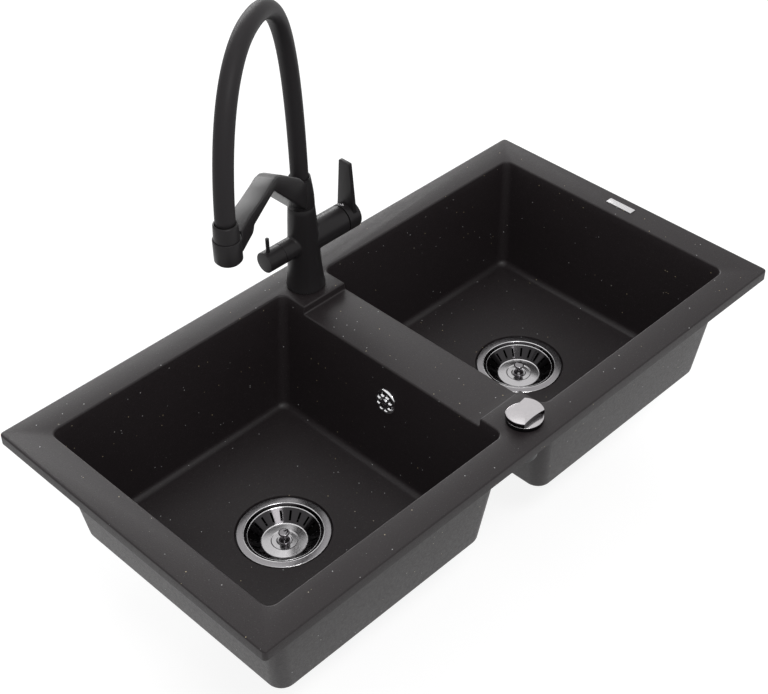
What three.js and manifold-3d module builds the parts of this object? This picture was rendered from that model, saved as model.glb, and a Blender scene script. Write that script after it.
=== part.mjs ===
// Inset double bowl kitchen sink with a lever mixer tap, hose spout and
// basket strainer wastes.
//
// Millimetres, +Z up. X runs along the long side, Y from the front edge to the
// back edge. The origin lies on the flat underside of the rim, in the middle of
// the front edge and a little way in from it.

import * as THREE from 'three';
import { mergeVertices } from 'three/addons/utils/BufferGeometryUtils.js';
import Module from 'manifold-3d';

const wasm = await Module();
wasm.setup();

// ---------------------------------------------------------------- dimensions

const GAP = 0.3; // running and seating clearance between two pieces

// rim
const RIM_SIDE = 39; // beyond the bowl at each end
const RIM_BACK = 38.5; // behind the bowls
const RIM_THICK = 13;
const RIM_CORNER = 5;
const RIM_EDGE = 2; // rounding of the top edge
const ORIGIN_INSET = 10; // from the front edge to the origin
const SEAT_BAND = 12; // of the underside that lies on the worktop
const SEAT_RELIEF = 1; // how far the underside steps up inside the band

// bowls, sizes at the rim's top face
const BOWL_LENGTH = 338;
const BOWL_DEPTH = 354;
const BOWL_CORNER = 11;
const BOWL_FRONT = 37.5; // from the front edge to the opening
const BOWL_DROP = 149; // from the rim's top face to the floor at the wall
const LEAN_OUTER = 22.5; // how far each wall leans in over the drop
const LEAN_DIVIDER = 25.5;
const LEAN_FRONT = 20;
const LEAN_BACK = 18;
const FLOOR_CORNER = 14;
const FLOOR_FILLET = 8;
const FLOOR_FALL = 2.5; // from the wall down to the waste
const WALL = 8; // at the rim
const FOOT_WALL = 9.5; // at the floor
const FLOOR_THICK = 8;
const FOOT_CORNER = 18;
const FOOT_ROUND = 6;

// divider between the bowls, lowered in its middle
const DIVIDER_WIDTH = 66;
const DIVIDER_DROP = 10;
const DIVIDER_BLOCK = 72.5; // from the front edge to the lowered part
const LEDGE_DEPTH = 76.5; // from the back edge to the lowered part
const DIVIDER_THICK = 8;

// basket strainer waste
const WASTE_HOLE_R = 45;
const RECESS_R = 56.7;
const RECESS_DEPTH = 4.5;
const BOSS_R = 63;
const BOSS_DROP = 12.5; // below the floor at the waste
const FLANGE_R = 54.8;
const FLANGE_THICK = 2;
const MOUTH_R = 44.4;
const MOUTH_DEPTH = 24.2;
const MOUTH_WALL = 0.9;
const MOUTH_HOLES = 6;
const MOUTH_HOLE_R = 7;
const MOUTH_HOLE_RING = 27;
const WASTE_GASKET = 1.2;
const LOWER_GASKET = 2;
const WASTE_BODY_R = 56;
const WASTE_COLLAR = 5;
const WASTE_CUP_R = 50;
const WASTE_CUP_WALL = 3;
const WASTE_CUP_DEPTH = 22;
const WASTE_CONE_DEPTH = 14;
const OUTLET_R = 20;
const OUTLET_WALL = 2.5;
const OUTLET_LENGTH = 42;
const OUTLET_NUT_R = 26.5;
const OUTLET_NUT_HEIGHT = 18;
const OUTLET_NUT_DROP = 10; // below the cone
const HUB_R = 9;
const HUB_DEPTH = 26;
const HUB_RIB = 4;
const SCREW_R = 5;
const SCREW_HEAD_R = 8;
const SCREW_HEAD = 1.5;
const SCREW_LENGTH = 22;
const PIN_R = 3;
const PIN_LENGTH = 30;

// strainer basket
const BASKET_R = 42.5;
const BASKET_TOP = 2.4; // below the flange's top
const BASKET_DEPTH = 12.6;
const BASKET_PLATE_R = 27.2;
const BASKET_WALL = 0.8;
const BASKET_SLOTS = 20;
const BASKET_SIDES = 20;
const SLOT_WIDTH = 2.6;
const SLOT_INNER = 29;
const SLOT_OUTER = 39;
const STEM_R = 6;
const BASKET_SEAL_R = 24;
const BASKET_SEAL_THICK = 3;
const GRIP_R = 6.7;
const GRIP_WAIST_R = 3;
const GRIP_HEIGHT = 14;

// overflow in the left bowl's divider wall
const OVERFLOW_SIDE = 5.5; // in front of the wastes' row
const OVERFLOW_DROP = 54; // below the rim's top face
const OVERFLOW_HOLE_R = 12.5;
const ROSETTE_R = 15.5;
const ROSETTE_THICK = 2;
const ROSETTE_HOLES = 8;
const ROSETTE_HOLE_R = 2.1;
const ROSETTE_HOLE_RING = 9.3;
const ROSETTE_SCREW_R = 3.2;
const ELBOW_R = 17;
const ELBOW_FLANGE = 3;
const ELBOW_X = -17; // axis of the down pipe between the bowls
const PIPE_R = 11;
const PIPE_BORE_R = 8.5;
const PIPE_TOP = -66;
const SPIGOT_REACH = 70; // from the waste's axis
const SPIGOT_DROP = 14; // below the top of the waste body

// badge
const BADGE_INSET = 17.7; // from the end edge to the badge's middle
const BADGE_SIDE = 0.8; // in front of the wastes' row
const BADGE_WIDTH = 9.8;
const BADGE_LENGTH = 39.6;
const BADGE_THICK = 0.9;

// waste control on the front block
const KNOB_INSET = 37; // from the front edge
const FIXING_HOLE_R = 17.5; // knob hole and tap hole
const KNOB_BASE_R = 22;
const KNOB_BASE_HEIGHT = 5.7;
const KNOB_R = 20.75;
const KNOB_HEIGHT = 6;
const KNOB_CHORD = 13.5; // half the width across the two cuts
const KNOB_SPINDLE_R = 5;
const KNOB_SPINDLE = 30;
const HOUSING_R = 16.8;
const HOUSING_BELOW = 38; // below the rim's underside
const BACK_NUT_R = 24;
const BACK_NUT_HEIGHT = 8;
const CABLE_R = 3;
const GLAND_R = 5.5;
const GLAND_LENGTH = 12;

// tap body
const TAP_INSET = 43.4; // from the back edge
const TAP_FOOT_R = 23.75;
const TAP_MID_R = 19.1;
const TAP_MID_Z = 60;
const TAP_TOP_R = 16.1;
const TAP_HEIGHT = 115;
const TAP_SEAL_R = 22.6;
const TAP_SEAL_THICK = 0.6;
const SHANK_R = 16.5;
const SHANK_BELOW = 58;
const INLET_R = 5.2;
const INLET_SPREAD = 7.5;
const INLET_DEPTH = 20;
const WASHER_R = 24;
const WASHER_THICK = 2;
const TAP_NUT_R = 23;
const TAP_NUT_HEIGHT = 9;

// main lever on the right side
const LEVER_Z = 64;
const LEVER_HOUSING_R = 18;
const LEVER_HOUSING_X = 60;
const CARTRIDGE_R = 14.5;
const CARTRIDGE_LENGTH = 30;
const LEVER_RING_R = 17;
const LEVER_RING = 0.7;
const LEVER_SPINDLE_R = 4;
const LEVER_SPINDLE = 10;
const CAP_LENGTH = 19.6;
const CAP_EDGE = 2.5;
const PADDLE_THICK = 5;
const PADDLE_FROM_CAP = 8.5; // from the cap's inner face to the paddle
const PADDLE_BASE = 29;
const PADDLE_TIP = 17.5;
const PADDLE_HEIGHT = 77; // above the lever's axis
const LEVER_SCREW_R = 2.4;
const LEVER_SCREW_HEAD = 0.6;

// small valve on the left side
const VALVE_Z = 63.5;
const VALVE_R = 13;
const VALVE_SLEEVE_X = 37;
const VALVE_HANDLE = 24.4;
const VALVE_PIN_R = 2.3;
const VALVE_PIN_IN = 7; // from the handle's outer end
const VALVE_PIN_HEIGHT = 31.5;

// swivel collar, arm and hose, in the upright plane of the spout
const SPOUT_TURN = 211; // degrees from +X
const COLLAR_TOP = 154;
const COLLAR_TOP_R = 12.9;
const COLLAR_BORE_Z = 141.5;
const ARM_WIDTH = 22;
const ARM_REACH = 240;
const ARM_CREST = 236.2;
const ARM_FOOT_U = 15.5; // lower corner at the collar
const ARM_FOOT_Z = 120;
const ARM_UNDER_U = 118.8; // start of the level run's underside
const ARM_UNDER_Z = 215.3;
const ARM_BEND = 2;
const ARM_TOP_U = 137; // start of the level run's top
const ARM_TOP_Z = 229;
const ARM_KNEE_U = 91;
const ARM_KNEE_Z = 216.7;
const ARM_BACK_U = 31.4;
const ARM_BACK_Z = 173.7;
const ARM_ROOT_Z = 152.5;
const CUP_R = 14.8;
const CUP_BOTTOM = 211;
const CUP_NECK = 188;
const HOSE_R = 10.6;
const HOSE_START = 142;
const HOSE_APEX = 414;
const HOSE_MIDDLE = 125;
const HOSE_END = 253;
const HOSE_RISE = 210; // length of the curve's handles
const HOSE_HANDLE_IN = 85;
const HOSE_HANDLE_OUT = 75;
const HOSE_FALL = 90;
const HOSE_STEPS = 28;

// spray head
const HEAD_R = 13.5;
const HEAD_TOP_R = 12.9;
const HEAD_TOP = 255;
const NOZZLE_R = 10.5;
const NOZZLE_THICK = 2.5;
const HEAD_BELOW = 2; // below the cup

// ------------------------------------------------------------------ materials

function material(color, roughness, metalness) {
  return new THREE.MeshStandardMaterial({ color, roughness, metalness });
}

const composite = () => material(0x3a393b, 0.72, 0);
const blackMetal = () => material(0x141414, 0.55, 0.35);
const blackHose = () => material(0x1a1a1b, 0.8, 0);
const chrome = () => material(0xd8dadd, 0.12, 1);
const steel = () => material(0xa9abad, 0.35, 1);
const brass = () => material(0xb39446, 0.4, 1);
const rubber = () => material(0x111111, 0.9, 0);
const plastic = () => material(0x222325, 0.6, 0);

// -------------------------------------------------------------------- helpers

const model = new THREE.Group();

function put(parent, name, geometry, look) {
  const mesh = new THREE.Mesh(geometry, look);
  mesh.name = name;
  parent.add(mesh);
  return mesh;
}

// a closed geometry with shared corners and no collapsed triangle
function weld(geometry) {
  const bare = new THREE.BufferGeometry();
  bare.setAttribute('position', geometry.getAttribute('position').clone());
  if (geometry.index) bare.setIndex(geometry.index.clone());
  const merged = mergeVertices(bare, 1e-4);
  const kept = [];
  const index = merged.index.array;
  for (let i = 0; i < index.length; i += 3) {
    const [a, b, c] = [index[i], index[i + 1], index[i + 2]];
    if (a !== b && b !== c && c !== a) kept.push(a, b, c);
  }
  merged.setIndex(kept);
  return merged;
}

function solid(geometry, matrix) {
  const merged = weld(geometry);
  if (matrix) merged.applyMatrix4(matrix);
  const mesh = new wasm.Mesh({
    numProp: 3,
    vertProperties: Float32Array.from(merged.getAttribute('position').array),
    triVerts: Uint32Array.from(merged.index.array),
  });
  return new wasm.Manifold(mesh);
}

function geometryOf(manifold) {
  const mesh = manifold.getMesh();
  const geometry = new THREE.BufferGeometry();
  const points = new Float32Array(mesh.vertProperties);
  geometry.setAttribute('position', new THREE.BufferAttribute(points, 3));
  geometry.setIndex(Array.from(mesh.triVerts));
  return geometry;
}

// a turned piece about Z from [radius, height] points, given anticlockwise
function turned(points, sides = 24) {
  const ring = points.map(([r, z]) => new THREE.Vector2(r, z));
  const onAxis = points[0][0] === 0 && points[points.length - 1][0] === 0;
  if (!onAxis) ring.push(ring[0].clone());
  const geometry = new THREE.LatheGeometry(ring, sides);
  geometry.rotateX(Math.PI / 2);
  return weld(geometry);
}

function disc(radius, z0, z1, sides = 24) {
  return turned([[0, z0], [radius, z0], [radius, z1], [0, z1]], sides);
}

function hoop(inner, outer, z0, z1, sides = 24) {
  return turned([[inner, z0], [outer, z0], [outer, z1], [inner, z1]], sides);
}

// a nut with flat sides and a round bore
function nutRing(inner, corner, z0, z1, flats) {
  const polygon = (radius, sides) => {
    const points = [];
    for (let i = 0; i < sides; i++) {
      const a = (2 * Math.PI * i) / sides;
      points.push(new THREE.Vector2(radius * Math.cos(a), radius * Math.sin(a)));
    }
    return points;
  };
  const shape = new THREE.Shape(polygon(corner, flats));
  shape.holes.push(new THREE.Path(polygon(inner, 32)));
  const geometry = new THREE.ExtrudeGeometry(shape, {
    depth: z1 - z0,
    bevelEnabled: false,
  });
  geometry.translate(0, 0, z0);
  return weld(geometry);
}

function box(x0, x1, y0, y1, z0, z1) {
  const geometry = new THREE.BoxGeometry(x1 - x0, y1 - y0, z1 - z0);
  geometry.translate((x0 + x1) / 2, (y0 + y1) / 2, (z0 + z1) / 2);
  return geometry;
}

// an outline in (x, z) given width along Y, centred on Y = 0
function slab(shape, width) {
  const geometry = new THREE.ExtrudeGeometry(shape, {
    depth: width,
    bevelEnabled: false,
    curveSegments: 6,
  });
  geometry.rotateX(Math.PI / 2);
  geometry.translate(0, width / 2, 0);
  return weld(geometry);
}

// anticlockwise points of a rectangle with rounded corners at one height
function rectRing(rect, radius, z, cornerSteps = 3, sideSteps = 3) {
  const [x0, x1, y0, y1] = rect;
  const corners = [
    [x1 - radius, y0 + radius, -90],
    [x1 - radius, y1 - radius, 0],
    [x0 + radius, y1 - radius, 90],
    [x0 + radius, y0 + radius, 180],
  ];
  const arcs = corners.map(([cx, cy, start]) => {
    const arc = [];
    for (let i = 0; i <= cornerSteps; i++) {
      const a = THREE.MathUtils.degToRad(start + (90 * i) / cornerSteps);
      arc.push(new THREE.Vector3(cx + radius * Math.cos(a), cy + radius * Math.sin(a), z));
    }
    return arc;
  });
  const ring = [];
  arcs.forEach((arc, k) => {
    ring.push(...arc);
    const from = arc[arc.length - 1];
    const to = arcs[(k + 1) % 4][0];
    for (let i = 1; i < sideSteps; i++) {
      ring.push(from.clone().lerp(to, i / sideSteps));
    }
  });
  return ring;
}

// the points of a ring drawn in to a circle about (cx, cy)
function circleOf(ring, cx, cy, radius, z) {
  return ring.map((p) => {
    const a = Math.atan2(p.y - cy, p.x - cx);
    return new THREE.Vector3(cx + radius * Math.cos(a), cy + radius * Math.sin(a), z);
  });
}

// a closed skin over rings of equal count, from the lowest to the highest
function loft(rings) {
  const count = rings[0].length;
  const points = [];
  rings.forEach((ring) => ring.forEach((p) => points.push(p.x, p.y, p.z)));
  const index = [];
  for (let r = 0; r + 1 < rings.length; r++) {
    for (let i = 0; i < count; i++) {
      const a = r * count + i;
      const b = r * count + ((i + 1) % count);
      index.push(a, b, b + count, a, b + count, a + count);
    }
  }
  [[0, true], [rings.length - 1, false]].forEach(([r, below]) => {
    const middle = new THREE.Vector3();
    rings[r].forEach((p) => middle.add(p));
    middle.divideScalar(count);
    const centre = points.length / 3;
    points.push(middle.x, middle.y, middle.z);
    for (let i = 0; i < count; i++) {
      const a = r * count + i;
      const b = r * count + ((i + 1) % count);
      index.push(...(below ? [centre, b, a] : [centre, a, b]));
    }
  });
  const geometry = new THREE.BufferGeometry();
  geometry.setAttribute('position', new THREE.Float32BufferAttribute(points, 3));
  geometry.setIndex(index);
  return geometry;
}

function grow([x0, x1, y0, y1], by) {
  return [x0 - by, x1 + by, y0 - by, y1 + by];
}

function between(a, b, t) {
  return a.map((v, i) => v + (b[i] - v) * t);
}

const move = (x, y, z) => new THREE.Matrix4().makeTranslation(x, y, z);

// lays a piece that was turned about Z along +X or -X at one height
function alongX(sign, z) {
  const turn = new THREE.Matrix4().makeRotationY((sign * Math.PI) / 2);
  return move(0, 0, z).multiply(turn);
}

// a round section of given radius swept along a curve
function swept(curve, radius, steps, sides = 12) {
  const section = new THREE.Shape();
  for (let i = 0; i < sides; i++) {
    const a = (2 * Math.PI * i) / sides;
    const x = radius * Math.cos(a);
    const y = radius * Math.sin(a);
    if (i === 0) section.moveTo(x, y);
    else section.lineTo(x, y);
  }
  section.closePath();
  const geometry = new THREE.ExtrudeGeometry(section, {
    steps,
    bevelEnabled: false,
    extrudePath: curve,
  });
  return weld(geometry);
}

// ------------------------------------------------------------------ sink body

const RIM_LENGTH = DIVIDER_WIDTH + 2 * (BOWL_LENGTH + RIM_SIDE);
const RIM_DEPTH = BOWL_FRONT + BOWL_DEPTH + RIM_BACK;
const FRONT = -ORIGIN_INSET;
const BACK = RIM_DEPTH - ORIGIN_INSET;
const KNOB_Y = FRONT + KNOB_INSET;
const TAP_Y = BACK - TAP_INSET;
const TOP = RIM_THICK;
const FLOOR = TOP - BOWL_DROP;
const WASTE_EDGE = FLOOR - FLOOR_FALL;
const FOOT = FLOOR - FLOOR_THICK;
const HALF_DIVIDER = DIVIDER_WIDTH / 2;
const BOWL_Y0 = FRONT + BOWL_FRONT;
const BOWL_Y1 = BOWL_Y0 + BOWL_DEPTH;
const WASTE_X = HALF_DIVIDER + (LEAN_DIVIDER + BOWL_LENGTH - LEAN_OUTER) / 2;
const WASTE_Y = (BOWL_Y0 + BOWL_Y1) / 2;
const OVERFLOW_Y = WASTE_Y - OVERFLOW_SIDE;
const BADGE_X = RIM_LENGTH / 2 - BADGE_INSET;
const BADGE_Y = WASTE_Y - BADGE_SIDE;

// inner outlines of the left (-1) or right (+1) bowl at the rim and at the floor
function bowlOutlines(side) {
  const order = (a, b) => (side < 0 ? [-b, -a] : [a, b]);
  const rim = [...order(HALF_DIVIDER, HALF_DIVIDER + BOWL_LENGTH), BOWL_Y0, BOWL_Y1];
  const floor = [
    ...order(HALF_DIVIDER + LEAN_DIVIDER, HALF_DIVIDER + BOWL_LENGTH - LEAN_OUTER),
    BOWL_Y0 + LEAN_FRONT,
    BOWL_Y1 - LEAN_BACK,
  ];
  return { rim, floor };
}

function bowlCavity(side) {
  const { rim, floor } = bowlOutlines(side);
  const level = (z) => (TOP - z) / BOWL_DROP;
  const at = (z) => between(rim, floor, level(z));
  const radius = (z) => BOWL_CORNER + (FLOOR_CORNER - BOWL_CORNER) * level(z);
  const rings = [];
  const inset = rectRing(grow(floor, -FLOOR_FILLET), FLOOR_CORNER - FLOOR_FILLET, FLOOR);
  const low = WASTE_EDGE - 0.3;
  rings.push(circleOf(inset, side * WASTE_X, WASTE_Y, RECESS_R - 6, low));
  rings.push(inset);
  [65, 45, 22, 0].forEach((deg) => {
    const a = THREE.MathUtils.degToRad(deg);
    const back = FLOOR_FILLET * (1 - Math.cos(a));
    const z = FLOOR + FLOOR_FILLET * (1 - Math.sin(a));
    rings.push(rectRing(grow(at(z), -back), radius(z) - back, z));
  });
  rings.push(rectRing(at(TOP), radius(TOP), TOP));
  rings.push(rectRing(at(TOP + 1), radius(TOP), TOP + 1));
  return loft(rings);
}

function bowlShell(side) {
  const { rim, floor } = bowlOutlines(side);
  const upper = grow(rim, WALL);
  const lower = grow(floor, FOOT_WALL);
  const level = (z) => (TOP - z) / (TOP - FOOT);
  const at = (z) => between(upper, lower, level(z));
  const radius = BOWL_CORNER + WALL;
  const corner = (z) => radius + (FOOT_CORNER - radius) * level(z);
  const rings = [];
  [90, 60, 30, 0].forEach((deg) => {
    const a = THREE.MathUtils.degToRad(deg);
    const back = FOOT_ROUND * (1 - Math.cos(a));
    const z = FOOT + FOOT_ROUND * (1 - Math.sin(a));
    rings.push(rectRing(grow(at(z), -back), corner(z) - back, z, 3, 1));
  });
  const inside = RIM_THICK / 2; // ends inside the rim
  rings.push(rectRing(at(inside), corner(inside), inside, 3, 1));
  return loft(rings);
}

function rimSlab() {
  const outline = [-RIM_LENGTH / 2, RIM_LENGTH / 2, FRONT, BACK];
  const rings = [rectRing(outline, RIM_CORNER, 0, 3, 1)];
  [0, 45, 90].forEach((deg) => {
    const a = THREE.MathUtils.degToRad(deg);
    const back = RIM_EDGE * (1 - Math.cos(a));
    const z = TOP - RIM_EDGE * (1 - Math.sin(a));
    rings.push(rectRing(grow(outline, -back), RIM_CORNER - back, z, 3, 1));
  });
  const relief = grow(outline, -SEAT_BAND);
  const step = loft([-1, SEAT_RELIEF].map((z) => rectRing(relief, RIM_CORNER, z, 3, 1)));
  return solid(loft(rings)).subtract(solid(step));
}

// the overflow's axis leaves the sloping divider wall of the left bowl squarely
const OVERFLOW_Z = TOP - OVERFLOW_DROP;
const OVERFLOW_X = -HALF_DIVIDER - (LEAN_DIVIDER * OVERFLOW_DROP) / BOWL_DROP;
const OVERFLOW_TILT = Math.atan(LEAN_DIVIDER / BOWL_DROP);
const overflowPlace = move(OVERFLOW_X, OVERFLOW_Y, OVERFLOW_Z)
  .multiply(new THREE.Matrix4().makeRotationY(-Math.PI / 2 + OVERFLOW_TILT));

function sinkBody() {
  let body = rimSlab();
  const webY0 = FRONT + DIVIDER_BLOCK - DIVIDER_THICK;
  const webY1 = BACK - LEDGE_DEPTH + DIVIDER_THICK;
  const dividerTop = TOP - DIVIDER_DROP;
  const web = box(-HALF_DIVIDER, HALF_DIVIDER, webY0, webY1, dividerTop - DIVIDER_THICK, 2 * SEAT_RELIEF);
  body = body.add(solid(web));
  [-1, 1].forEach((side) => {
    const boss = disc(BOSS_R, WASTE_EDGE - BOSS_DROP, FLOOR - 1, 40);
    body = body.add(solid(bowlShell(side)));
    body = body.add(solid(boss, move(side * WASTE_X, WASTE_Y, 0)));
  });
  [-1, 1].forEach((side) => {
    const place = move(side * WASTE_X, WASTE_Y, 0);
    const recess = disc(RECESS_R, WASTE_EDGE - RECESS_DEPTH, FLOOR, 48);
    const hole = disc(WASTE_HOLE_R, WASTE_EDGE - BOSS_DROP - 1, FLOOR, 48);
    body = body.subtract(solid(bowlCavity(side)));
    body = body.subtract(solid(recess, place));
    body = body.subtract(solid(hole, place));
  });
  const dipY0 = FRONT + DIVIDER_BLOCK;
  const dipY1 = BACK - LEDGE_DEPTH;
  const dipX = HALF_DIVIDER + LEAN_DIVIDER / 4;
  body = body.subtract(solid(box(-dipX, dipX, dipY0, dipY1, dividerTop, TOP + 1)));
  const through = disc(FIXING_HOLE_R, -1, TOP + 1, 32);
  body = body.subtract(solid(through, move(0, KNOB_Y, 0)));
  body = body.subtract(solid(through, move(0, TAP_Y, 0)));
  const overflow = disc(OVERFLOW_HOLE_R, -2 * FOOT_WALL, FOOT_WALL, 24);
  body = body.subtract(solid(overflow, overflowPlace));
  return geometryOf(body);
}

put(model, 'sink_body', sinkBody(), composite());

const badge = box(
  BADGE_X - BADGE_WIDTH / 2,
  BADGE_X + BADGE_WIDTH / 2,
  BADGE_Y - BADGE_LENGTH / 2,
  BADGE_Y + BADGE_LENGTH / 2,
  TOP + GAP / 3,
  TOP + GAP / 3 + BADGE_THICK,
);
put(model, 'badge_plate', badge, steel());

// --------------------------------------------------------------------- wastes

const RECESS_FLOOR = WASTE_EDGE - RECESS_DEPTH;
const FLANGE_TOP = RECESS_FLOOR + 2 * GAP + WASTE_GASKET + FLANGE_THICK;
const MOUTH_FLOOR = FLANGE_TOP - MOUTH_DEPTH;
const MOUTH_FLOOR_TOP = MOUTH_FLOOR + MOUTH_WALL;
const SCREW_TOP = MOUTH_FLOOR_TOP + GAP + SCREW_HEAD;
const BOSS_BOTTOM = WASTE_EDGE - BOSS_DROP;
const BODY_TOP = BOSS_BOTTOM - 2 * GAP - LOWER_GASKET;
const CUP_FLOOR = BODY_TOP - WASTE_CUP_DEPTH;
const OUTLET_TOP = CUP_FLOOR - WASTE_CONE_DEPTH;
const OUTLET_END = OUTLET_TOP - OUTLET_LENGTH;
const HUB_TOP = MOUTH_FLOOR - GAP;
const HUB_BOTTOM = HUB_TOP - HUB_DEPTH;
const PIPE_Z = BODY_TOP - SPIGOT_DROP;

function mouth() {
  const inner = MOUTH_R - MOUTH_WALL;
  const lip = MOUTH_R + 1;
  const t = FLANGE_TOP;
  const profile = [
    [SCREW_R + GAP, MOUTH_FLOOR],
    [MOUTH_R - 0.8, MOUTH_FLOOR],
    [MOUTH_R, t - FLANGE_THICK - 0.6],
    [lip + 0.2, t - FLANGE_THICK],
    [FLANGE_R, t - FLANGE_THICK],
    [FLANGE_R, t - 0.6 * FLANGE_THICK],
    [(FLANGE_R + lip) / 2, t],
    [lip, t - 0.3 * FLANGE_THICK],
    [inner, t - FLANGE_THICK - 0.6],
    [inner - 0.8, MOUTH_FLOOR_TOP],
    [SCREW_R + GAP, MOUTH_FLOOR_TOP],
  ];
  let shell = solid(turned(profile, 28));
  for (let i = 0; i < MOUTH_HOLES; i++) {
    const a = (2 * Math.PI * i) / MOUTH_HOLES;
    const x = MOUTH_HOLE_RING * Math.cos(a);
    const y = MOUTH_HOLE_RING * Math.sin(a);
    const hole = disc(MOUTH_HOLE_R, MOUTH_FLOOR - 1, MOUTH_FLOOR_TOP + 1, 8);
    shell = shell.subtract(solid(hole, move(x, y, 0)));
  }
  return geometryOf(shell);
}

// cup and cone under the bowl, with a ribbed hub for the screw
function wasteBody(spigot) {
  const bore = WASTE_CUP_R - WASTE_CUP_WALL;
  const pipe = OUTLET_R - OUTLET_WALL;
  const cup = turned([
    [pipe, OUTLET_TOP],
    [OUTLET_R, OUTLET_TOP],
    [WASTE_CUP_R, CUP_FLOOR],
    [WASTE_CUP_R, BODY_TOP - WASTE_COLLAR],
    [WASTE_BODY_R, BODY_TOP - WASTE_COLLAR],
    [WASTE_BODY_R, BODY_TOP],
    [bore, BODY_TOP],
    [bore, CUP_FLOOR],
  ], 20);
  let body = solid(cup);
  const hub = hoop(SCREW_R + GAP, HUB_R, HUB_BOTTOM, HUB_TOP, 20);
  const ribTop = HUB_TOP - 2;
  const ribs = [0, 90].map((deg) => {
    const turn = new THREE.Matrix4().makeRotationZ(THREE.MathUtils.degToRad(deg));
    const reach = bore + WASTE_CUP_WALL / 2;
    const half = HUB_RIB / 2;
    return solid(box(-reach, reach, -half, half, CUP_FLOOR, ribTop), turn);
  });
  const core = solid(disc(HUB_R - 1, HUB_BOTTOM - 1, HUB_TOP + 1, 20));
  const spider = ribs[0].add(ribs[1]).subtract(core);
  body = body.add(spider).add(solid(hub));
  if (spigot) {
    const z = PIPE_Z;
    const lay = alongX(1, z);
    body = body.add(solid(disc(PIPE_R, WASTE_CUP_R - 1.5, SPIGOT_REACH, 16), lay));
    const open = disc(PIPE_BORE_R, WASTE_CUP_R - 2 * WASTE_CUP_WALL, SPIGOT_REACH + 1, 16);
    body = body.subtract(solid(open, lay));
  }
  return geometryOf(body);
}

function basket() {
  const top = FLANGE_TOP - BASKET_TOP;
  const plate = top - BASKET_DEPTH;
  const shell = turned([
    [0, SCREW_TOP + GAP],
    [STEM_R, SCREW_TOP + GAP],
    [STEM_R, plate - BASKET_WALL],
    [BASKET_PLATE_R, plate - BASKET_WALL],
    [BASKET_R, top - 0.9],
    [BASKET_R - 0.5, top],
    [BASKET_R - 1.2, top - 0.5],
    [BASKET_PLATE_R - 0.6, plate],
    [0, plate],
  ], BASKET_SIDES);
  let body = solid(shell);
  for (let i = 0; i < BASKET_SLOTS / 2; i++) {
    const turn = new THREE.Matrix4().makeRotationZ((2 * Math.PI * i) / BASKET_SLOTS);
    [-1, 1].forEach((way) => {
      const [a, b] = way < 0 ? [-SLOT_OUTER, -SLOT_INNER] : [SLOT_INNER, SLOT_OUTER];
      const slot = box(a, b, -SLOT_WIDTH / 2, SLOT_WIDTH / 2, plate - 3, top + 1);
      body = body.subtract(solid(slot, turn));
    });
  }
  return geometryOf(body);
}

function grip() {
  const z = FLANGE_TOP - BASKET_TOP - BASKET_DEPTH + GAP;
  return turned([
    [0, z],
    [GRIP_R, z],
    [GRIP_R, z + 1.4],
    [GRIP_R - 1.6, z + 2.8],
    [GRIP_WAIST_R, z + 5.2],
    [GRIP_WAIST_R, z + GRIP_HEIGHT - 6],
    [GRIP_R - 1.2, z + GRIP_HEIGHT - 3.4],
    [GRIP_R, z + GRIP_HEIGHT - 2],
    [GRIP_R - 0.6, z + GRIP_HEIGHT - 0.4],
    [GRIP_R - 2, z + GRIP_HEIGHT],
    [0, z + GRIP_HEIGHT],
  ], 16);
}

function waste(side, tag) {
  const group = new THREE.Group();
  group.position.set(side * WASTE_X, WASTE_Y, 0);
  model.add(group);
  const seal = hoop(MOUTH_R + 1.8, FLANGE_R - 1, RECESS_FLOOR + GAP,
    RECESS_FLOOR + GAP + WASTE_GASKET);
  put(group, `waste_flange_${tag}`, mouth(), steel());
  put(group, `waste_seal_upper_${tag}`, seal, rubber());
  const ring = hoop(MOUTH_R + 1.8, WASTE_BODY_R - 1, BODY_TOP + GAP,
    BODY_TOP + GAP + LOWER_GASKET);
  put(group, `waste_seal_lower_${tag}`, ring, rubber());
  put(group, `waste_body_${tag}`, wasteBody(side < 0), plastic());
  const outlet = hoop(OUTLET_R - OUTLET_WALL, OUTLET_R, OUTLET_END, OUTLET_TOP - GAP, 24);
  put(group, `outlet_pipe_${tag}`, outlet, plastic());
  const nutTop = OUTLET_TOP - OUTLET_NUT_DROP;
  const nut = nutRing(OUTLET_R + GAP, OUTLET_NUT_R, nutTop - OUTLET_NUT_HEIGHT, nutTop, 12);
  put(group, `outlet_nut_${tag}`, nut, plastic());

  // the left screw is solid, the right one is hollow for the lift pin
  const under = MOUTH_FLOOR_TOP + GAP;
  const end = under - SCREW_LENGTH;
  const bore = side < 0 ? 0 : PIN_R + GAP;
  const screw = turned([
    [bore, end],
    [SCREW_R, end],
    [SCREW_R, under],
    [SCREW_HEAD_R, under],
    [SCREW_HEAD_R, SCREW_TOP],
    [bore, SCREW_TOP],
  ], 20);
  put(group, `waste_screw_${tag}`, screw, steel());
  put(group, `basket_${tag}`, basket(), steel());
  const plate = FLANGE_TOP - BASKET_TOP - BASKET_DEPTH - BASKET_WALL;
  const disk = hoop(STEM_R + GAP, BASKET_SEAL_R, plate - GAP - BASKET_SEAL_THICK, plate - GAP);
  put(group, `basket_seal_${tag}`, disk, rubber());
  put(group, `basket_grip_${tag}`, grip(), steel());
  if (side > 0) {
    put(group, 'lift_pin', disc(PIN_R, SCREW_TOP - PIN_LENGTH, SCREW_TOP, 12), steel());
  }
  return group;
}

waste(-1, 'left');
const rightWaste = waste(1, 'right');

// ------------------------------------------------------------------- overflow

const overflow = new THREE.Group();
overflow.applyMatrix4(overflowPlace);
model.add(overflow);

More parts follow.
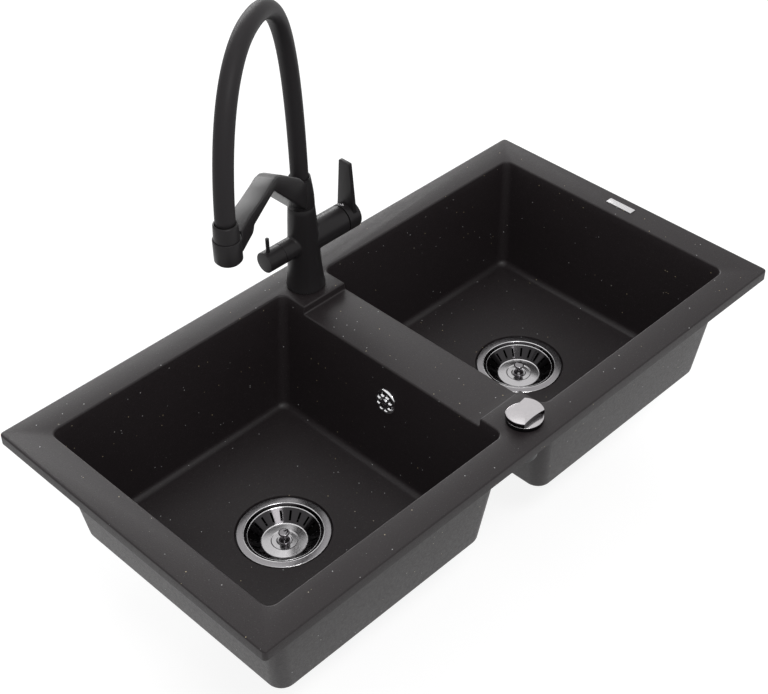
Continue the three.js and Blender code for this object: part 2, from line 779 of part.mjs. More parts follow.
function rosette() {
  const z = GAP;
  const t = z + ROSETTE_THICK;
  let plate = solid(turned([
    [ROSETTE_SCREW_R - 0.8, z],
    [ROSETTE_R, z],
    [ROSETTE_R, z + 0.8],
    [ROSETTE_R - 1.2, t],
    [ROSETTE_SCREW_R - 0.8, t],
  ], 24));
  for (let i = 0; i < ROSETTE_HOLES; i++) {
    const a = (2 * Math.PI * (i + 0.5)) / ROSETTE_HOLES;
    const x = ROSETTE_HOLE_RING * Math.cos(a);
    const y = ROSETTE_HOLE_RING * Math.sin(a);
    plate = plate.subtract(solid(disc(ROSETTE_HOLE_R, z - 1, t + 1, 8), move(x, y, 0)));
  }
  return geometryOf(plate);
}

put(overflow, 'overflow_rosette', rosette(), chrome());

// distance through the wall along the overflow's axis
const SHELL_RUN = (LEAN_DIVIDER + WALL - FOOT_WALL) / (BOWL_DROP + FLOOR_THICK);
const SHELL_X = -HALF_DIVIDER + WALL - SHELL_RUN * OVERFLOW_DROP;
const WALL_THERE = (SHELL_X - OVERFLOW_X) * Math.cos(OVERFLOW_TILT);
const ELBOW_FACE = -WALL_THERE - 2 * GAP;

const screwTop = GAP + ROSETTE_THICK + GAP + 1;
const rosetteScrew = turned([
  [0, ELBOW_FACE + 1],
  [ROSETTE_SCREW_R - 0.8 - GAP, ELBOW_FACE + 1],
  [ROSETTE_SCREW_R - 0.8 - GAP, screwTop - 1],
  [ROSETTE_SCREW_R, screwTop - 1],
  [ROSETTE_SCREW_R - 0.5, screwTop],
  [0, screwTop],
], 12);
put(overflow, 'overflow_screw', rosetteScrew, chrome());

// flanged elbow between the bowls, with a crossbar for the screw
function elbow() {
  const back = ELBOW_FACE;
  const flange = solid(disc(ELBOW_R, back - ELBOW_FLANGE, back, 20), overflowPlace);
  const neck = solid(disc(PIPE_R, back - 14, back - 1, 12), overflowPlace);
  const down = solid(disc(PIPE_R, PIPE_TOP, OVERFLOW_Z + PIPE_R, 12),
    move(ELBOW_X, OVERFLOW_Y, 0));
  const hollow = solid(disc(PIPE_BORE_R, back - 14, back + 1, 12), overflowPlace);
  const well = solid(disc(PIPE_BORE_R, PIPE_TOP - 1, OVERFLOW_Z + PIPE_BORE_R, 12),
    move(ELBOW_X, OVERFLOW_Y, 0));
  let body = flange.add(neck).add(down).subtract(hollow).subtract(well);
  const width = ROSETTE_SCREW_R;
  const bar = solid(box(-width, width, -PIPE_R + 1, PIPE_R - 1, back - 8, back - 2),
    overflowPlace);
  body = body.add(bar);
  const drill = disc(ROSETTE_SCREW_R - 0.8, back - 9, back + 1, 12);
  return geometryOf(body.subtract(solid(drill, overflowPlace)));
}

put(model, 'overflow_elbow', elbow(), plastic());

// down between the bowls, then under the left bowl to its waste
function downPipe() {
  const endX = -WASTE_X + SPIGOT_REACH + GAP;
  const bend = 30;
  const path = new THREE.CurvePath();
  const top = new THREE.Vector3(ELBOW_X, OVERFLOW_Y, PIPE_TOP - GAP);
  const drop = new THREE.Vector3(ELBOW_X, OVERFLOW_Y, PIPE_Z + bend);
  const low = new THREE.Vector3(ELBOW_X, OVERFLOW_Y, PIPE_Z + bend / 3);
  const side = new THREE.Vector3(ELBOW_X - bend / 3, WASTE_Y, PIPE_Z);
  const turn = new THREE.Vector3(ELBOW_X - bend, WASTE_Y, PIPE_Z);
  const end = new THREE.Vector3(endX, WASTE_Y, PIPE_Z);
  path.add(new THREE.LineCurve3(top, drop));
  path.add(new THREE.CubicBezierCurve3(drop, low, side, turn));
  path.add(new THREE.LineCurve3(turn, end));
  return swept(path, PIPE_R, 16, 12);
}

put(model, 'overflow_pipe', downPipe(), plastic());

// --------------------------------------------------------------- waste control

const control = new THREE.Group();
control.position.set(0, KNOB_Y, 0);
model.add(control);

const baseTop = TOP + GAP + KNOB_BASE_HEIGHT;
const knobBase = turned([
  [KNOB_SPINDLE_R + GAP, TOP + GAP],
  [KNOB_BASE_R, TOP + GAP],
  [KNOB_BASE_R, baseTop - 1],
  [KNOB_BASE_R - 1, baseTop],
  [KNOB_SPINDLE_R + GAP, baseTop],
], 32);
put(control, 'knob_base', knobBase, chrome());

function knob() {
  const z = baseTop + GAP;
  const t = z + KNOB_HEIGHT;
  let body = solid(turned([
    [0, z],
    [KNOB_R, z],
    [KNOB_R, t - 1],
    [KNOB_R - 1, t],
    [0, t],
  ], 40));
  [-1, 1].forEach((way) => {
    const near = way * KNOB_CHORD;
    const far = way * 2 * KNOB_R;
    const y0 = Math.min(near, far);
    const y1 = Math.max(near, far);
    body = body.subtract(solid(box(-KNOB_R * 2, KNOB_R * 2, y0, y1, z - 1, t + 1)));
  });
  const spindle = disc(KNOB_SPINDLE_R, z - KNOB_SPINDLE, z + 1, 16);
  return geometryOf(body.add(solid(spindle)));
}

put(control, 'control_knob', knob(), chrome());

const housingRoom = baseTop + GAP - KNOB_SPINDLE - GAP;
const housing = turned([
  [0, -HOUSING_BELOW],
  [HOUSING_R, -HOUSING_BELOW],
  [HOUSING_R, TOP],
  [KNOB_SPINDLE_R + GAP, TOP],
  [KNOB_SPINDLE_R + GAP, housingRoom],
  [0, housingRoom],
], 24);
put(control, 'control_housing', housing, plastic());
const backTop = SEAT_RELIEF - GAP;
const backNut = nutRing(HOUSING_R + GAP, BACK_NUT_R, backTop - BACK_NUT_HEIGHT, backTop, 8);
put(control, 'control_nut', backNut, plastic());

// the pull cable leaves the housing's back side
const glandZ = -HOUSING_BELOW + GLAND_R + 2;
const glandNear = HOUSING_R + GAP;
const towardsBack = new THREE.Matrix4().makeRotationX(-Math.PI / 2).setPosition(0, 0, glandZ);
const gland = disc(GLAND_R, glandNear, glandNear + GLAND_LENGTH, 12).applyMatrix4(towardsBack);
put(control, 'cable_gland_upper', gland, plastic());

// it runs down between the bowls and under the right one
const glandReach = WASTE_CUP_R + GAP;
const CABLE_Z = BODY_TOP - SPIGOT_DROP;
const lowerGland = disc(GLAND_R, glandReach, glandReach + GLAND_LENGTH, 12);
lowerGland.applyMatrix4(alongX(-1, CABLE_Z));
put(rightWaste, 'cable_gland_lower', lowerGland, plastic());

function pullCable() {
  const startY = KNOB_Y + glandNear + GLAND_LENGTH + GAP;
  const endX = WASTE_X - glandReach - GLAND_LENGTH - GAP;
  const point = (x, y, z) => new THREE.Vector3(x, y, z);
  const start = point(0, startY, glandZ);
  const bend = point(0, startY + 8, glandZ);
  const middle = point(22, WASTE_Y - 50, CABLE_Z);
  const lean = point(0.45, 0.9, 0);
  const last = point(endX - 10, WASTE_Y, CABLE_Z);
  const path = new THREE.CurvePath();
  path.add(new THREE.LineCurve3(start, bend));
  path.add(new THREE.CubicBezierCurve3(
    bend,
    point(0, startY + 70, glandZ),
    middle.clone().addScaledVector(lean, -48),
    middle,
  ));
  path.add(new THREE.CubicBezierCurve3(
    middle,
    middle.clone().addScaledVector(lean, 48),
    point(endX - 60, WASTE_Y, CABLE_Z),
    last,
  ));
  path.add(new THREE.LineCurve3(last, point(endX, WASTE_Y, CABLE_Z)));
  return swept(path, CABLE_R, 22, 8);
}

put(model, 'pull_cable', pullCable(), rubber());

// -------------------------------------------------------------------- tap body

const tap = new THREE.Group();
tap.position.set(0, TAP_Y, TOP);
model.add(tap);

const FOOT_Z = 2 * GAP + TAP_SEAL_THICK;

function tapBody() {
  const cone = turned([
    [0, FOOT_Z],
    [TAP_FOOT_R - 0.8, FOOT_Z],
    [TAP_FOOT_R, FOOT_Z + 1],
    [TAP_FOOT_R - 1.3, FOOT_Z + 9],
    [TAP_MID_R, TAP_MID_Z],
    [(TAP_MID_R + TAP_TOP_R) / 2 - 0.1, (TAP_MID_Z + TAP_HEIGHT) / 2 + 5],
    [TAP_TOP_R, TAP_HEIGHT - 0.6],
    [TAP_TOP_R - 0.5, TAP_HEIGHT],
    [0, TAP_HEIGHT],
  ], 32);
  const arm = disc(LEVER_HOUSING_R, 0, LEVER_HOUSING_X, 28);
  const sleeve = disc(VALVE_R, 0, VALVE_SLEEVE_X, 24);
  const room = CARTRIDGE_LENGTH + 2 * GAP;
  const bore = disc(CARTRIDGE_R + GAP, LEVER_HOUSING_X - room, LEVER_HOUSING_X + 1, 28);
  return geometryOf(solid(cone)
    .add(solid(arm, alongX(1, LEVER_Z)))
    .add(solid(sleeve, alongX(-1, VALVE_Z)))
    .subtract(solid(bore, alongX(1, LEVER_Z))));
}

put(tap, 'tap_body', tapBody(), blackMetal());
put(tap, 'tap_seal', hoop(SHANK_R + 1, TAP_SEAL_R, GAP, GAP + TAP_SEAL_THICK), rubber());

// fixing shank with two inlets for the supply tails
function shank() {
  let body = solid(disc(SHANK_R, -TOP - SHANK_BELOW, FOOT_Z - GAP, 24));
  [-1, 1].forEach((way) => {
    const end = -TOP - SHANK_BELOW;
    const inlet = disc(INLET_R, end - 1, end + INLET_DEPTH, 16);
    body = body.subtract(solid(inlet, move(way * INLET_SPREAD, 0, 0)));
  });
  return geometryOf(body);
}

put(tap, 'tap_shank', shank(), brass());
const washerTop = SEAT_RELIEF - TOP - GAP;
const washer = hoop(SHANK_R + GAP, WASHER_R, washerTop - WASHER_THICK, washerTop, 24);
put(tap, 'tap_washer', washer, steel());
const nutTop = washerTop - WASHER_THICK - GAP;
const tapNut = nutRing(SHANK_R + GAP, TAP_NUT_R, nutTop - TAP_NUT_HEIGHT, nutTop, 6);
put(tap, 'tap_nut', tapNut, brass());

// ------------------------------------------------------------------ main lever

const lever = new THREE.Group();
lever.applyMatrix4(alongX(1, LEVER_Z));
tap.add(lever);

const cartridgeEnd = LEVER_HOUSING_X - GAP;
const spindleEnd = cartridgeEnd - LEVER_SPINDLE;
const cartridge = turned([
  [0, cartridgeEnd - CARTRIDGE_LENGTH],
  [CARTRIDGE_R, cartridgeEnd - CARTRIDGE_LENGTH],
  [CARTRIDGE_R, cartridgeEnd],
  [LEVER_SPINDLE_R + GAP, cartridgeEnd],
  [LEVER_SPINDLE_R + GAP, spindleEnd - GAP],
  [0, spindleEnd - GAP],
], 28);
put(lever, 'cartridge', cartridge, plastic());

const ringBack = LEVER_HOUSING_X;
const ringFace = ringBack + LEVER_RING;
const leverRing = turned([
  [0, spindleEnd],
  [LEVER_SPINDLE_R, spindleEnd],
  [LEVER_SPINDLE_R, ringBack],
  [LEVER_RING_R, ringBack],
  [LEVER_RING_R, ringFace],
  [0, ringFace],
], 28);
put(lever, 'lever_spindle', leverRing, plastic());

const capBack = ringFace + GAP;
const capFace = capBack + CAP_LENGTH;
const screwDepth = 3;

// where the small screw sits, on the cap's rim in front of the paddle
const screwX = capBack + PADDLE_FROM_CAP - 4.2;

function leverCap() {
  let body = solid(turned([
    [0, capBack],
    [LEVER_HOUSING_R - 0.8, capBack],
    [LEVER_HOUSING_R, capBack + 0.8],
    [LEVER_HOUSING_R, capFace - CAP_EDGE],
    [LEVER_HOUSING_R - 0.3 * CAP_EDGE, capFace - 0.3 * CAP_EDGE],
    [LEVER_HOUSING_R - CAP_EDGE, capFace],
    [0, capFace],
  ], 28), alongX(1, 0));
  const x0 = capBack + PADDLE_FROM_CAP - GAP;
  const x1 = x0 + PADDLE_THICK + 2 * GAP;
  const half = PADDLE_BASE / 2 + GAP;
  body = body.subtract(solid(box(x0, x1, -half, half, 0, LEVER_HOUSING_R + 1)));
  const drill = disc(LEVER_SCREW_R - 1, LEVER_HOUSING_R - screwDepth - GAP, LEVER_HOUSING_R + 1, 12);
  return geometryOf(body.subtract(solid(drill, move(screwX, 0, 0))));
}

put(tap, 'lever_cap', leverCap().translate(0, 0, LEVER_Z), blackMetal());

// flat tapered paddle, its foot let into the cap
function paddle() {
  const x0 = capBack + PADDLE_FROM_CAP;
  const base = PADDLE_BASE / 2;
  const tip = PADDLE_TIP / 2;
  const foot = GAP;
  const shoulder = LEVER_HOUSING_R;
  const round = 2.5;
  const shape = new THREE.Shape();
  shape.moveTo(-base, foot);
  shape.lineTo(base, foot);
  shape.lineTo(base, 10.5);
  shape.lineTo(base - 0.9, shoulder);
  shape.lineTo(tip + 0.4, PADDLE_HEIGHT - round);
  shape.quadraticCurveTo(tip, PADDLE_HEIGHT, tip - round, PADDLE_HEIGHT);
  shape.lineTo(-tip + round, PADDLE_HEIGHT);
  shape.quadraticCurveTo(-tip, PADDLE_HEIGHT, -tip - 0.4, PADDLE_HEIGHT - round);
  shape.lineTo(-base + 0.9, shoulder);
  shape.lineTo(-base, 10.5);
  shape.closePath();
  const plate = slab(shape, PADDLE_THICK);
  plate.rotateZ(Math.PI / 2);
  plate.translate(x0 + PADDLE_THICK / 2, 0, LEVER_Z);
  return plate;
}

put(tap, 'lever_paddle', paddle(), blackMetal());

const leverScrew = turned([
  [0, LEVER_HOUSING_R - screwDepth],
  [LEVER_SCREW_R - 1 - GAP, LEVER_HOUSING_R - screwDepth],
  [LEVER_SCREW_R - 1 - GAP, LEVER_HOUSING_R + GAP],
  [LEVER_SCREW_R, LEVER_HOUSING_R + GAP],
  [LEVER_SCREW_R - 0.3, LEVER_HOUSING_R + GAP + LEVER_SCREW_HEAD],
  [0, LEVER_HOUSING_R + GAP + LEVER_SCREW_HEAD],
], 12);
leverScrew.translate(screwX, 0, LEVER_Z);
put(tap, 'lever_screw', leverScrew, steel());

// ----------------------------------------------------------------- side valve

const handleNear = VALVE_SLEEVE_X + GAP;
const handleFar = handleNear + VALVE_HANDLE;
const pinX = handleFar - VALVE_PIN_IN;
const pinFoot = VALVE_R - 5;

function valveHandle() {
  const knobShape = turned([
    [0, handleNear],
    [VALVE_R, handleNear],
    [VALVE_R, handleFar - 0.8],
    [VALVE_R - 0.8, handleFar],
    [0, handleFar],
  ], 28);
  const drill = disc(VALVE_PIN_R + GAP, pinFoot - GAP, VALVE_R + 1, 12);
  return geometryOf(solid(knobShape, alongX(-1, 0)).subtract(solid(drill, move(-pinX, 0, 0))));
}

put(tap, 'valve_handle', valveHandle().translate(0, 0, VALVE_Z), blackMetal());
const valvePin = turned([
  [0, pinFoot],
  [VALVE_PIN_R, pinFoot],
  [VALVE_PIN_R, VALVE_PIN_HEIGHT - 0.6],
  [VALVE_PIN_R - 0.6, VALVE_PIN_HEIGHT],
  [0, VALVE_PIN_HEIGHT],
], 12);
valvePin.translate(-pinX, 0, VALVE_Z);
put(tap, 'valve_pin', valvePin, blackMetal());

// -------------------------------------------------------- collar, arm and hose

const spout = new THREE.Group();
spout.rotation.z = THREE.MathUtils.degToRad(SPOUT_TURN);
tap.add(spout);

const collarFoot = TAP_HEIGHT + GAP;
const collarBore = HOSE_R + GAP;
const collarProfile = (extra) => [
  [TAP_TOP_R - 0.5 + extra, collarFoot],
  [TAP_TOP_R + 0.1 + extra, collarFoot + 0.6],
  [TAP_TOP_R - 0.4 + extra, collarFoot + 16],
  [COLLAR_TOP_R + 0.6 + extra, COLLAR_TOP - 4],
  [COLLAR_TOP_R + extra, COLLAR_TOP],
];
const collar = turned([
  [0, collarFoot],
  ...collarProfile(0),
  [collarBore + 0.6, COLLAR_TOP],
  [collarBore, COLLAR_TOP - 1.5],
  [collarBore, COLLAR_BORE_Z],
  [0, COLLAR_BORE_Z],
], 28);
put(spout, 'swivel_collar', collar, blackMetal());

// upright outline of the arm, as distance out from the tap's axis and height
function armOutline() {
  const shape = new THREE.Shape();
  const near = ARM_BEND;
  shape.moveTo(ARM_FOOT_U / 2, ARM_FOOT_Z - near);
  shape.lineTo(ARM_FOOT_U, ARM_FOOT_Z);
  shape.lineTo(ARM_UNDER_U, ARM_UNDER_Z - near);
  shape.quadraticCurveTo(ARM_UNDER_U + near, ARM_UNDER_Z, ARM_UNDER_U + 3 * near, ARM_UNDER_Z);
  shape.lineTo(CUP_NECK, ARM_UNDER_Z + near);
  shape.lineTo(CUP_NECK + near, CUP_BOTTOM + near);
  shape.lineTo(CUP_NECK + 3 * near, CUP_BOTTOM);
  shape.lineTo(CUP_NECK + 5 * near, ARM_CREST);
  const middle = (ARM_TOP_U + CUP_NECK + 5 * near) / 2;
  shape.lineTo(middle, ARM_TOP_Z + 0.42 * (ARM_CREST - ARM_TOP_Z));
  shape.lineTo(ARM_TOP_U, ARM_TOP_Z);
  const shoulder = ARM_KNEE_U + 0.37 * (ARM_TOP_U - ARM_KNEE_U);
  shape.quadraticCurveTo(shoulder, ARM_TOP_Z, ARM_KNEE_U, ARM_KNEE_Z);
  shape.lineTo(ARM_BACK_U, ARM_BACK_Z);
  shape.lineTo(ARM_FOOT_U - 3 * near, ARM_ROOT_Z);
  shape.closePath();
  return shape;
}

// plan outline of the cup, drawn out to the arm's width
function cupOutline() {
  const shape = new THREE.Shape();
  const half = ARM_WIDTH / 2;
  const start = Math.atan2(half, -0.9 * ARM_WIDTH);
  shape.moveTo(CUP_NECK, -half);
  const from = -start;
  const to = start;
  for (let i = 0; i <= 24; i++) {
    const a = from + ((to - from) * i) / 24;
    shape.lineTo(ARM_REACH + CUP_R * Math.cos(a), CUP_R * Math.sin(a));
  }
  shape.lineTo(CUP_NECK, half);
  shape.closePath();
  return shape;
}

function spoutArm() {
  const bar = solid(slab(armOutline(), ARM_WIDTH));
  const cupHeight = ARM_CREST - CUP_BOTTOM;
  const plan = new THREE.ExtrudeGeometry(cupOutline(), {
    depth: cupHeight,
    bevelEnabled: false,
  });
  plan.translate(0, 0, CUP_BOTTOM);
  const around = turned([
    [0, collarFoot - 3],
    [TAP_TOP_R + GAP, collarFoot - 3],
    ...collarProfile(GAP),
    [COLLAR_TOP_R + GAP, COLLAR_TOP + TAP_TOP_R],
    [0, COLLAR_TOP + TAP_TOP_R],
  ], 28);
  const bore = disc(HEAD_R + GAP, CUP_BOTTOM - 1, ARM_CREST + 1, 28);
  return geometryOf(bar
    .add(solid(plan))
    .subtract(solid(around))
    .subtract(solid(bore, move(ARM_REACH, 0, 0))));
}

put(spout, 'spout_arm', spoutArm(), blackMetal());

function hosePath() {
  const point = (u, z) => new THREE.Vector3(u, 0, z);
  const path = new THREE.CurvePath();
  path.add(new THREE.CubicBezierCurve3(
    point(0, HOSE_START),
    point(0, HOSE_START + HOSE_RISE),
    point(HOSE_MIDDLE - HOSE_HANDLE_IN, HOSE_APEX),
    point(HOSE_MIDDLE, HOSE_APEX),
  ));
  path.add(new THREE.CubicBezierCurve3(
    point(HOSE_MIDDLE, HOSE_APEX),
    point(HOSE_MIDDLE + HOSE_HANDLE_OUT, HOSE_APEX),
    point(0.975 * ARM_REACH, HOSE_END + HOSE_FALL),
    point(ARM_REACH, HOSE_END),
  ));
  return path;
}

put(spout, 'spout_hose', swept(hosePath(), HOSE_R, HOSE_STEPS), blackHose());

// ------------------------------------------------------------------ spray head

const headBottom = CUP_BOTTOM - HEAD_BELOW;
const seat = HOSE_END - GAP;
const hoseRoom = HOSE_R + GAP;
const nozzleRoom = NOZZLE_R + GAP;
const head = turned([
  [0, headBottom + NOZZLE_THICK],
  [nozzleRoom, headBottom + NOZZLE_THICK],
  [nozzleRoom, headBottom],
  [HEAD_R - 0.8, headBottom],
  [HEAD_R, headBottom + 0.8],
  [HEAD_R, ARM_CREST],
  [HEAD_TOP_R, HEAD_TOP - 1],
  [HEAD_TOP_R - 0.6, HEAD_TOP],
  [hoseRoom + 0.3, HEAD_TOP],
  [hoseRoom, seat - 1],
  [0, seat - 1],
], 28);
head.translate(ARM_REACH, 0, 0);
put(spout, 'spray_head', head, blackMetal());
const nozzle = disc(NOZZLE_R, headBottom - 0.3, headBottom + NOZZLE_THICK - GAP, 24);
nozzle.translate(ARM_REACH, 0, 0);
put(spout, 'spray_nozzle', nozzle, rubber());

export default model;
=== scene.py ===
# %% [markdown]
# # A double bowl kitchen sink with a lever mixer tap
#
# The sink is one moulding of dark granite composite. It carries two basket
# strainer wastes, an overflow, a chrome waste knob and a matt black tap whose
# spout is a free standing hose. The solids that were measured for it are loaded
# first and stay where they are: every piece made here is built round them in
# millimetres, as on a drawing, and scaled to metres at the end.

import math

import bmesh
import bpy
from mathutils import Matrix, Vector


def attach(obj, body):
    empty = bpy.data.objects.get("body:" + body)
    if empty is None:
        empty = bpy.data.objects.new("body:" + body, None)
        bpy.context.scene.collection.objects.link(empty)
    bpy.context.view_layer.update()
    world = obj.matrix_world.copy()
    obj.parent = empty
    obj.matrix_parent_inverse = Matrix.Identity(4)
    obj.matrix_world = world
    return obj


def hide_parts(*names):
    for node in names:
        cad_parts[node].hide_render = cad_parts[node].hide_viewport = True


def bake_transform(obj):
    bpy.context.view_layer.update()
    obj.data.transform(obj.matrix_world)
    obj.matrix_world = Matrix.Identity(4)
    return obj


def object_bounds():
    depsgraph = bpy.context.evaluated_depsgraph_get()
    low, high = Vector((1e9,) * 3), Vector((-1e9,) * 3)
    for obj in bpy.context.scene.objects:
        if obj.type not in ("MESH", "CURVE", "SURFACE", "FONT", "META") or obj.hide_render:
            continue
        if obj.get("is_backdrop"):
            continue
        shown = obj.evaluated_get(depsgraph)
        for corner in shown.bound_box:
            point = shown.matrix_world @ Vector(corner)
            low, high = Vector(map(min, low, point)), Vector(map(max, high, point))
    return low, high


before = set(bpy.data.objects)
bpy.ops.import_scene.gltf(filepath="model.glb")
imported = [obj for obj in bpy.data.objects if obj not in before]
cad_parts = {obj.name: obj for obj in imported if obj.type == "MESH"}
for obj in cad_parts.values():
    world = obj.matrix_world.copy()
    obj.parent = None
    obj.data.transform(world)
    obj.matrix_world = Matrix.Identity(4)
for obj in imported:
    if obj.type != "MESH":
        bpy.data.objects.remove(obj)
cad_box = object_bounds()
scene = bpy.context.scene
scene.view_settings.view_transform = "Standard"
print("solids loaded:", len(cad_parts))

# %% [markdown]
# ## Camera
#
# The picture was taken with a long lens from the front left, 40 degrees above
# the sink. The tap and the two waste circles gave the place and the focal
# length. The long side of the picture is 36 mm of film, and the small shift
# says that the picture was cut a little off centre.

# %% Camera
FILM_WIDTH = 36.0  # mm
LENS = 72.0  # mm
OFF_CENTRE = -0.0534  # of the film's width
CAMERA_PLACE = (-0.9628, -0.7472, 1.1481)
CAMERA_ANGLES = (-46.174, 40.0, 0.063)  # azimuth, elevation and roll in degrees

camera_data = bpy.data.cameras.new("camera")
camera_data.sensor_width = FILM_WIDTH
camera_data.lens = LENS
camera_data.shift_x = OFF_CENTRE
camera_data.clip_start, camera_data.clip_end = 0.05, 50.0
camera = bpy.data.objects.new("camera", camera_data)
scene.collection.objects.link(camera)
scene.camera = camera

azimuth, elevation, roll = (math.radians(angle) for angle in CAMERA_ANGLES)
back = Vector((
    math.sin(azimuth) * math.cos(elevation),
    -math.cos(azimuth) * math.cos(elevation),
    math.sin(elevation),
))
turn = (-back).to_track_quat("-Z", "Y").to_matrix().to_4x4()
camera.matrix_world = (
    Matrix.Translation(CAMERA_PLACE) @ turn @ Matrix.Rotation(roll, 4, "Z")
)
print("camera at", tuple(round(c, 3) for c in camera.location))

# %% [markdown]
# ## Floor, sky and lamps
#
# The studio is plain: a pale floor under the outlets and a white sky. The eye
# and the mirrors see white, and the lamps stay at a level at which a colour
# renders about as it is written. A photographer would hang a white sheet behind
# the sink; here the Light Path node tells which rays see the white, so that the
# white doesn't light the matt composite from all sides as well.

# %% Helpers for node materials
def node_tree(owner):
    owner.use_nodes = True
    tree = owner.node_tree
    tree.nodes.clear()
    return tree, tree.nodes, tree.links


def add_node(nodes, kind, **values):
    node = nodes.new(kind)
    for key, value in values.items():
        if hasattr(node, key):
            setattr(node, key, value)
        else:
            node.inputs[key.replace("_", " ")].default_value = value
    return node


def seen_directly(nodes, links):
    """1 for rays of the eye and for mirrored and see-through rays, else 0."""
    path = nodes.new("ShaderNodeLightPath")
    first = nodes.new("ShaderNodeMath")
    first.operation = "MAXIMUM"
    links.new(path.outputs["Is Camera Ray"], first.inputs[0])
    links.new(path.outputs["Is Glossy Ray"], first.inputs[1])
    second = nodes.new("ShaderNodeMath")
    second.operation = "MAXIMUM"
    links.new(first.outputs[0], second.inputs[0])
    links.new(path.outputs["Is Transmission Ray"], second.inputs[1])
    return second.outputs[0]


# %% Sky
WHITE = (1, 1, 1, 1)
SKY_SEEN = 1.0  # plain white to the eye and in mirrors
SKY_LIGHT = 0.50  # what the sky gives to matt surfaces

world = bpy.data.worlds.new("sky")
scene.world = world
tree, nodes, links = node_tree(world)
white = add_node(nodes, "ShaderNodeBackground", Color=WHITE, Strength=SKY_SEEN)
soft = add_node(nodes, "ShaderNodeBackground", Color=WHITE, Strength=SKY_LIGHT)
choice = nodes.new("ShaderNodeMixShader")
output = nodes.new("ShaderNodeOutputWorld")
links.new(seen_directly(nodes, links), choice.inputs["Fac"])
links.new(soft.outputs[0], choice.inputs[1])
links.new(white.outputs[0], choice.inputs[2])
links.new(choice.outputs[0], output.inputs["Surface"])
print("sky seen at", SKY_SEEN, "and lighting at", SKY_LIGHT)

# %% Floor
FLOOR_HEIGHT = cad_box[0][2] - 0.0005  # just under the lowest outlet
FLOOR_REACH = 6.0  # m
FLOOR_GREY = (0.28, 0.28, 0.28, 1)
FLOOR_GLOW = 0.85  # added where the floor is seen directly

floor_material = bpy.data.materials.new("pale_floor")
tree, nodes, links = node_tree(floor_material)
paint = add_node(nodes, "ShaderNodeBsdfDiffuse", Color=FLOOR_GREY)
glow = add_node(nodes, "ShaderNodeEmission", Color=WHITE, Strength=FLOOR_GLOW)
dark = add_node(nodes, "ShaderNodeEmission", Color=(0, 0, 0, 1), Strength=0.0)
switch = nodes.new("ShaderNodeMixShader")
both = nodes.new("ShaderNodeAddShader")
output = nodes.new("ShaderNodeOutputMaterial")
links.new(seen_directly(nodes, links), switch.inputs["Fac"])
links.new(dark.outputs[0], switch.inputs[1])
links.new(glow.outputs[0], switch.inputs[2])
links.new(switch.outputs[0], both.inputs[0])
links.new(paint.outputs[0], both.inputs[1])
links.new(both.outputs[0], output.inputs["Surface"])

bm = bmesh.new()
bmesh.ops.create_grid(bm, x_segments=1, y_segments=1, size=FLOOR_REACH)
bmesh.ops.translate(bm, vec=(0, 0, FLOOR_HEIGHT), verts=bm.verts)
floor_mesh = bpy.data.meshes.new("floor")
bm.to_mesh(floor_mesh)
bm.free()
floor_mesh.materials.append(floor_material)
floor = bpy.data.objects.new("floor", floor_mesh)
scene.collection.objects.link(floor)
floor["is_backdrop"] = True
print("floor at", round(FLOOR_HEIGHT, 4), "m")

# %% [markdown]
# The strongest lamp stands low behind the sink. Its light grazes the rim, which
# mirrors it towards the eye, and can't reach down to the floors of the bowls, so
# they stay dark. A small lamp above the camera draws the bright streaks on the
# strainers, and a weak one high up fills in.

# %% Lamps
def area_lamp(name, place, target, size, power):
    """A rectangle of light that looks at its target."""
    data = bpy.data.lights.new(name, "AREA")
    data.shape = "RECTANGLE"
    data.size, data.size_y = size
    data.energy = power
    lamp = bpy.data.objects.new(name, data)
    scene.collection.objects.link(lamp)
    aim = (Vector(target) - Vector(place)).to_track_quat("-Z", "Y").to_matrix().to_4x4()
    lamp.matrix_world = Matrix.Translation(place) @ aim
    print(name, power, "W")


area_lamp("lamp_top", (0.3, 0.9, 2.2), (0, 0.2, 0), (1.6, 1.2), 5)
area_lamp("lamp_back", (1.40, 3.40, 1.25), (0, 0.2, 0.0), (2.8, 0.9), 62)
area_lamp("lamp_window", (-0.52, -0.89, 1.71), (0, 0.2, -0.1), (0.80, 0.36), 13)

# %% [markdown]
# ## Finishes
#
# The composite is quartz in resin: a dark grey ground that is a little uneven,
# fine pale grains and a few silver and gold flecks that catch the light. A
# picture of such a stone would blur close up, so the pattern is computed. Cells
# of a Voronoi pattern make good flecks, because each cell has a random colour
# of its own: only the few cells whose value is high enough carry one.

# %% A shader to start from
def principled(name, colour, roughness, metallic=0.0):
    """A material with one shader, and the coordinates that patterns read."""
    material = bpy.data.materials.new(name)
    tree, nodes, links = node_tree(material)
    shader = nodes.new("ShaderNodeBsdfPrincipled")
    shader.inputs["Base Color"].default_value = (*colour, 1)
    shader.inputs["Roughness"].default_value = roughness
    shader.inputs["Metallic"].default_value = metallic
    output = nodes.new("ShaderNodeOutputMaterial")
    links.new(shader.outputs["BSDF"], output.inputs["Surface"])
    place = nodes.new("ShaderNodeTexCoord")
    return material, nodes, links, shader, place.outputs["Object"]


def ramp(nodes, links, value, stops):
    """Turns a value into greys or colours, given as (position, shade) stops."""
    node = nodes.new("ShaderNodeValToRGB")
    elements = node.color_ramp.elements
    elements[0].position, elements[1].position = stops[0][0], stops[-1][0]
    for position, _ in stops[1:-1]:
        elements.new(position)
    for element, (_, shade) in zip(elements, stops):
        shades = (shade,) * 3 if isinstance(shade, float) else shade
        element.color = (*shades, 1)
    links.new(value, node.inputs["Fac"])
    return node.outputs["Color"]


def noise(nodes, links, coords, scale, detail=3.0, roughness=0.55):
    node = add_node(nodes, "ShaderNodeTexNoise", Scale=scale, Detail=detail)
    node.inputs["Roughness"].default_value = roughness
    links.new(coords, node.inputs["Vector"])
    return node.outputs["Fac"]


